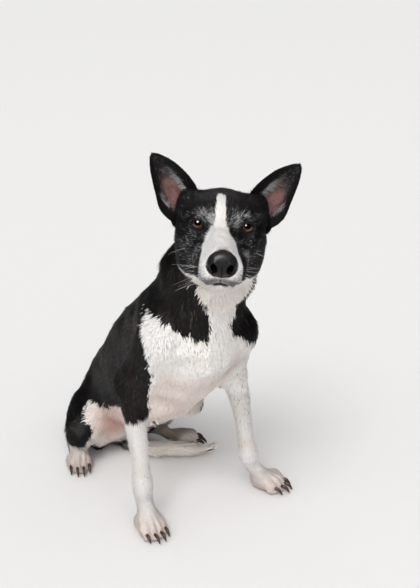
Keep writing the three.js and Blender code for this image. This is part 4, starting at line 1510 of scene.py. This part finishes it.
def eye_colour(out, around, polar):
    """Colours of an eye: out is the distance from its axis, around the turn about it. The iris holds painted
    shade from the upper lid.
    """
    phases = np.random.default_rng(31).uniform(0, 6.3, len(FIBRES))
    fibres = sum(np.sin(around * k + phase) for k, phase in zip(FIBRES, phases)) / len(FIBRES)
    # Painted shade: the iris darkens towards the top, in the upper lid's shadow, and its paler amber ring
    # shows only below.
    lower = 0.5 - 0.5 * np.sin(around)
    iris = IRIS_BROWN[None] * (0.16 + 1.6 * lower**1.5 + 0.9 * fibres * lower)[:, None]
    iris = mix(iris, IRIS_GLOW, 0.4 * bump(out - PUPIL - 1.2, 0.8) * lower**2)
    colour = mix(iris, IRIS_EDGE, ramp(out, IRIS - 1.1, IRIS - 0.1))
    colour = mix(colour, EYE_WHITE, ramp(out, IRIS + 0.4, IRIS + 1.8) * (polar < 1.5))
    colour = mix(PUPIL_BLACK, colour, ramp(out, PUPIL - 0.25, PUPIL + 0.25))
    return np.clip(colour, 0.001, 1)


def make_eye(side, material):
    bm = bmesh.new()
    bmesh.ops.create_uvsphere(bm, u_segments=96, v_segments=72, radius=1.0)
    x, y, z = shape_of(bm).T
    polar = np.arccos(np.clip(z, -1, 1))
    around = np.arctan2(y, x)
    polar = math.pi * (polar / math.pi) ** 1.7
    gaze = gaze_of(side)
    across, up = frame_about(gaze)
    ball = EYE_RADIUS + CORNEA * (1 - ramp(polar, 0.25, 0.8))
    place = HEAD.eyes[side] + (ball * np.cos(polar))[:, None] * gaze
    place = place + (ball * np.sin(polar) * np.cos(around))[:, None] * across
    place = place + (ball * np.sin(polar) * np.sin(around))[:, None] * up
    put_places(bm, HEAD.outside(place))
    bmesh.ops.reverse_faces(bm, faces=bm.faces)  # the directions above turn the ball inside out
    made = object_of("eyeball_" + side, bm)
    put_colours(made.data, "eye_colour", eye_colour(EYE_RADIUS * np.sin(polar), around, polar))
    return finished(made, material)


def finished(made, material):
    for polygon in made.data.polygons:
        polygon.use_smooth = True
    made.data.materials.append(material)
    return made


def tube_grid(bm, path, radius, sides, closed):
    """A tube along a path of points in metres, made from a grid that is rolled up."""
    steps = len(path)
    spans = steps if closed else steps - 1
    made = bmesh.ops.create_grid(bm, x_segments=spans, y_segments=sides, size=0.5)["verts"]
    path = np.array(path)
    radius = np.broadcast_to(radius, steps)
    if closed:
        path = np.vstack([path, path[:1]])
        radius = np.append(radius, radius[0])
    ahead = unit(np.gradient(path, axis=0))
    if closed:
        ahead[0] = ahead[-1] = unit(path[1] - path[-2])
    across = unit(np.cross(ahead, [0.31, 0.22, 0.92]))
    up = np.cross(across, ahead)
    for vert in made:
        i = int(round((vert.co.x + 0.5) * (len(path) - 1)))
        turn = (vert.co.y + 0.5) * 2 * math.pi
        vert.co = path[i] + radius[i] * (math.cos(turn) * across[i] + math.sin(turn) * up[i])


def lid_path(side, lift):
    """The edge of the opening between the lids, above the eyeball by lift."""
    gaze, out, up = eye_axes(side)
    width, height = EYE_OPENING
    turn = np.linspace(0, 2 * math.pi, 72, endpoint=False)
    a = width * np.cos(turn)
    b = height * np.sin(turn) * np.where(np.sin(turn) > 0, UPPER_LID, 1) - LID_BEND * (a / width) ** 2
    f = np.sqrt(np.maximum((EYE_RADIUS + lift) ** 2 - a**2 - b**2, 1))
    place = HEAD.eyes[side] + a[:, None] * out + b[:, None] * up + f[:, None] * gaze
    return HEAD.outside(place)


def make_rims(material):
    bm = bmesh.new()
    for side in SIDES:
        tube_grid(bm, lid_path(side, lift=0.7), radius=0.6 * MM, sides=10, closed=True)
    bmesh.ops.remove_doubles(bm, verts=bm.verts, dist=0.01 * MM)
    bmesh.ops.recalc_face_normals(bm, faces=bm.faces)
    return finished(object_of("lid_rims", bm), material)


LEATHER_HALF = (19.6, 9.6, 17.2)  # half sizes of the nose leather
NOSTRIL_SLIT = [(9.6, 0, -10.4), (12.6, 0, -11.6), (15.4, 0, -9.4), (17.4, 0, -4.6)]
LEATHER = np.array([0.0095, 0.0092, 0.0105])
LEATHER_BROWN = np.array([0.03, 0.024, 0.021])
# painted shade: the colour inside the nostrils, side slits and groove
HOLE_SHADE_BLACK = 0.0005


def make_nose(material):
    """The nose leather, with its wings, nostrils, side slits and middle groove, which are painted near black
    as the shade inside them.
    """
    bm = bmesh.new()
    bmesh.ops.create_icosphere(bm, subdivisions=6, radius=1.0)
    d = shape_of(bm)
    square = np.sign(d) * np.abs(d) ** 0.86
    square = square / np.linalg.norm(square, axis=1, keepdims=True) ** 0.25
    x, y, z = (square * LEATHER_HALF).T
    x = x * (1 - 0.3 * ramp(-d[:, 2], 0.05, 1.0)) * (1 - 0.06 * ramp(d[:, 2], 0.4, 1.0))
    ahead = ramp(-d[:, 1], 0.05, 0.45)
    side = np.abs(x)
    wing = bump(np.hypot((side - 12.5) / 6.0, (z + 3.0) / 8.5), 1.0)
    shoulder = bump(np.hypot((side - 15.5) / 3.0, (z - 4.5) / 4.0), 1.0)
    y = y - 1.9 * wing * ahead
    y = y + 1.2 * ahead * bump(side - 5.6, 2.0) * ramp(-z, -6, 2) + 1.6 * ahead * ramp(-z, 10, 17)
    y = y + 1.0 * ahead * shoulder
    hole = np.hypot((side - 10.4 - 0.25 * (z + 5.0)) / 4.6, (z + 5.0) / 6.2)
    nostril = 1 - ramp(hole, 0.62, 1.08)
    slit, along = along_line(np.stack([side, 0 * side, z], 1), NOSTRIL_SLIT)
    slot = bump(slit, 1.3) * (1 - 0.6 * along)
    middle = bump(x, 0.8) * ramp(-z, -2, 6)
    y = y + ahead * (9.0 * nostril + 4.0 * slot * (1 - nostril)) + ahead * 2.0 * middle
    # Painted shade: the nostrils, side slits and middle groove darken to near black, as the shade inside
    # them.
    dark = np.clip(ahead * np.maximum(np.maximum(nostril * 1.2, slot), 0.7 * middle), 0, 1)
    put_places(bm, HEAD.outside(NOSE_CENTRE + np.stack([x, y, z], 1)))
    made = object_of("nose_leather", bm)
    shades = mix(LEATHER[None], LEATHER_BROWN, 0.6 * ramp(z, 7, 15))
    put_colours(made.data, "leather_colour", mix(shades, HOLE_SHADE_BLACK, dark))
    put_colours(made.data, "hollow", np.repeat(dark[:, None], 3, 1))
    return finished(made, material)


def make_claws(material):
    bm = bmesh.new()
    for node in CLAWS:
        bm.from_mesh(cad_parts[node].data)
    bmesh.ops.remove_doubles(bm, verts=bm.verts, dist=1e-5)
    made = object_of("claws", bm)
    round_ = made.modifiers.new("round", "SUBSURF")
    round_.levels = round_.render_levels = 2
    return finished(applied(made), material)


WHISKER_RADIUS = 0.17


def whisker_starts(dice):
    """Root, way and length of each whisker: muzzle, brow, cheek and chin, on both sides."""
    starts = []
    for sign in (-1, 1):
        for row in range(3):
            for k in range(4):
                shift = dice.uniform(-2.2, 2.2, 3)
                place = np.array([sign * (23 + 2.2 * k), -76 + 8.5 * k, -66 + 7 * row]) + shift
                drop = -0.5 + 0.25 * row + dice.uniform(-0.25, 0.25)
                starts.append((place, (sign * (0.95 + 0.1 * k), 0.1 + 0.3 * k, drop), dice.uniform(22, 46)))
        for k in range(2):
            way = (sign * 0.4, -0.45, 0.8 - 0.1 * k)
            starts.append(((sign * (24 + 6 * k), -12, 17), way, dice.uniform(12, 20)))
        starts.append(((sign * 50, -12, -34), (sign * 0.9, -0.2, -0.3), 24))
        for k in range(2):
            place = (sign * (6 + 5 * k), -72 + 4 * k, -76)
            starts.append((place, (sign * 0.4, -0.35, -0.8), dice.uniform(10, 18)))
    return starts


def make_whiskers(material):
    bm = bmesh.new()
    dice = np.random.default_rng(41)
    t = np.linspace(0, 1, 8)[:, None]
    for place, way, length in whisker_starts(dice):
        place, way = np.array(place, float), unit(np.array(way, float))
        sag = np.array([0.1 * np.sign(place[0]), 0.25, -0.55]) * dice.uniform(0.2, 0.5)
        path = place - 3 * way + length * (t * way + t**2 * sag * 0.5)
        path = np.maximum(HEAD.outside(path), np.array(cad_box[0]) + MM)
        tube_grid(bm, path, radius=WHISKER_RADIUS * MM * (1 - 0.8 * t[:, 0]), sides=4, closed=False)
    bmesh.ops.remove_doubles(bm, verts=bm.verts, dist=0.002 * MM)
    bmesh.ops.holes_fill(bm, edges=[e for e in bm.edges if e.is_boundary], sides=0)
    bmesh.ops.recalc_face_normals(bm, faces=bm.faces)
    return finished(object_of("whiskers", bm), material)


# ---------- finishes ----------
RIM_BLACK = (0.006, 0.005, 0.005, 1)
HORN = (0.055, 0.026, 0.016, 1)
WHISKER_WHITE = (0.72, 0.7, 0.68, 1)
FLOOR_GREY = (0.795, 0.785, 0.775, 1)


class Value:
    """A socket of a finish; sums, differences and products with it build Math nodes."""

    def __init__(self, finish, socket):
        self.finish, self.socket = finish, socket

    def maths(self, operation, first, second):
        node = self.finish.node("Math", {"operation": operation}, {0: first, 1: second})
        return Value(self.finish, node.outputs[0])

    def __add__(self, other):
        return self.maths("ADD", self, other)

    def __rsub__(self, other):
        return self.maths("SUBTRACT", other, self)

    def __mul__(self, other):
        return self.maths("MULTIPLY", self, other)


class Finish:
    """A procedural material and its Principled shader."""

    def __init__(self, name, **constants):
        self.material = bpy.data.materials.new(name)
        self.material.use_nodes = True
        self.tree = self.material.node_tree
        self.shader = self.tree.nodes["Principled BSDF"]
        for socket, value in constants.items():
            self.put(self.shader, socket.replace("_", " "), value)

    def put(self, node, socket, value):
        if isinstance(value, Value):
            self.tree.links.new(value.socket, node.inputs[socket])
        else:
            node.inputs[socket].default_value = value

    def node(self, kind, settings=None, values=None):
        made = self.tree.nodes.new("ShaderNode" + kind)
        for name, setting in (settings or {}).items():
            setattr(made, name, setting)
        for socket, value in (values or {}).items():
            self.put(made, socket, value)
        return made

    def attribute(self, name, output="Color"):
        return Value(self, self.node("Attribute", {"attribute_name": name}).outputs[output])

    def place(self):
        return Value(self, self.node("TexCoord").outputs["Object"])

    def noise(self, scale, detail=3.0, roughness=0.55):
        values = {"Vector": self.place(), "Scale": scale, "Detail": detail, "Roughness": roughness}
        return Value(self, self.node("TexNoise", None, values).outputs["Fac"])

    def pebbles(self, scale):
        values = {"Vector": self.place(), "Scale": scale}
        return Value(self, self.node("TexVoronoi", None, values).outputs["Distance"])

    def tint(self, colour, amount):
        """A colour made lighter or darker by a grey value."""
        settings = {"data_type": "RGBA", "blend_type": "MULTIPLY"}
        factor, first, second, result = 0, 6, 7, 2  # the node's sockets for colours
        node = self.node("Mix", settings, {factor: 1.0, first: colour, second: amount})
        return Value(self, node.outputs[result])

    def colour(self, value):
        self.put(self.shader, "Base Color", value)

    def rough(self, value):
        self.put(self.shader, "Roughness", value)

    def bumped(self, height, strength, distance):
        values = {"Height": height, "Strength": strength, "Distance": distance}
        node = self.node("Bump", None, values)
        self.put(self.shader, "Normal", Value(self, node.outputs["Normal"]))


def skin_finish():
    finish = Finish("short_fur_skin", Specular_IOR_Level=0.2)
    grain = finish.noise(900.0, detail=4.0, roughness=0.7)
    finish.colour(finish.tint(finish.attribute("skin_colour"), grain * 0.6 + 0.7))
    finish.rough(grain * 0.2 + 0.5)
    finish.bumped(grain + finish.noise(300.0) * 0.6, strength=0.35, distance=0.0012)
    return finish.material


def coat_finish():
    finish = Finish("fur", Specular_IOR_Level=0.16)
    hairs = finish.noise(1500.0, detail=2.0, roughness=0.6)
    finish.colour(finish.tint(finish.attribute("hair_colour"), hairs * 0.5 + 0.75))
    finish.rough(hairs * 0.18 + 0.42)
    return finish.material


def eye_finish():
    finish = Finish("eye", Specular_IOR_Level=0.05, Coat_Roughness=0.02)
    finish.colour(finish.attribute("eye_colour"))
    finish.rough(finish.noise(600.0) * 0.05 + 0.12)
    finish.put(finish.shader, "Coat Weight", 0.85)
    return finish.material


def nose_finish():
    finish = Finish("wet_nose_leather", Specular_IOR_Level=0.08, Coat_Roughness=0.3)
    pebble = finish.pebbles(900.0)
    base = finish.noise(160.0)
    finish.colour(finish.tint(finish.attribute("leather_colour"), base * 0.9 + 0.55))
    hollow = finish.attribute("hollow", "Fac")
    finish.rough(base * 0.2 + 0.3 + hollow * 0.5)
    finish.put(finish.shader, "Coat Weight", 0.3 - hollow * 0.3)
    finish.bumped(pebble + finish.noise(2500.0) * 0.3, strength=0.5, distance=0.0007)
    return finish.material


def rim_finish():
    finish = Finish("lid_rim", Specular_IOR_Level=0.2)
    grain = finish.noise(1200.0)
    finish.colour(finish.tint(RIM_BLACK, grain + 0.5))
    finish.rough(grain * 0.2 + 0.35)
    return finish.material


def claw_finish():
    finish = Finish("claw_horn", Specular_IOR_Level=0.5)
    grain = finish.noise(500.0, detail=3.0, roughness=0.6)
    finish.colour(finish.tint(HORN, grain * 1.4 + 0.3))
    finish.rough(grain * 0.25 + 0.22)
    finish.bumped(grain, strength=0.2, distance=0.0003)
    return finish.material


def whisker_finish():
    finish = Finish("whisker")
    finish.colour(finish.tint(WHISKER_WHITE, finish.noise(300.0) * 0.3 + 0.85))
    finish.rough(finish.noise(800.0) * 0.1 + 0.3)
    return finish.material


def floor_finish():
    finish = Finish("pale_floor")
    grain = finish.noise(30.0)
    finish.colour(finish.tint(FLOOR_GREY, grain * 0.02 + 0.99))
    finish.rough(grain * 0.05 + 0.65)
    return finish.material


make_light()
make_floor()
skin = make_skin()
web = Web(skin.data)
parts = Nodes().at(points_of(skin.data))
put_colours(skin.data, "skin_colour", colour_skin(skin, parts))
unwrap(skin)
skin.data.materials.append(skin_finish())
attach(skin, "root")
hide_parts(*FLESH, *EARS)

for piece in grow_coat(skin, parts, web, coat_finish()):
    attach(piece, "root")

horn = make_claws(claw_finish())
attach(horn, "root")
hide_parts(*CLAWS)
leather = make_nose(nose_finish())
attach(leather, "root")
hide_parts("nose")
wet_eye = eye_finish()
for side in SIDES:
    eyeball = make_eye(side, wet_eye)
    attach(eyeball, "root")
    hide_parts("eye_" + side)
rims = make_rims(rim_finish())
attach(rims, "root")
whiskers = make_whiskers(whisker_finish())
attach(whiskers, "root")

bpy.context.scene.view_settings.view_transform = "Standard"
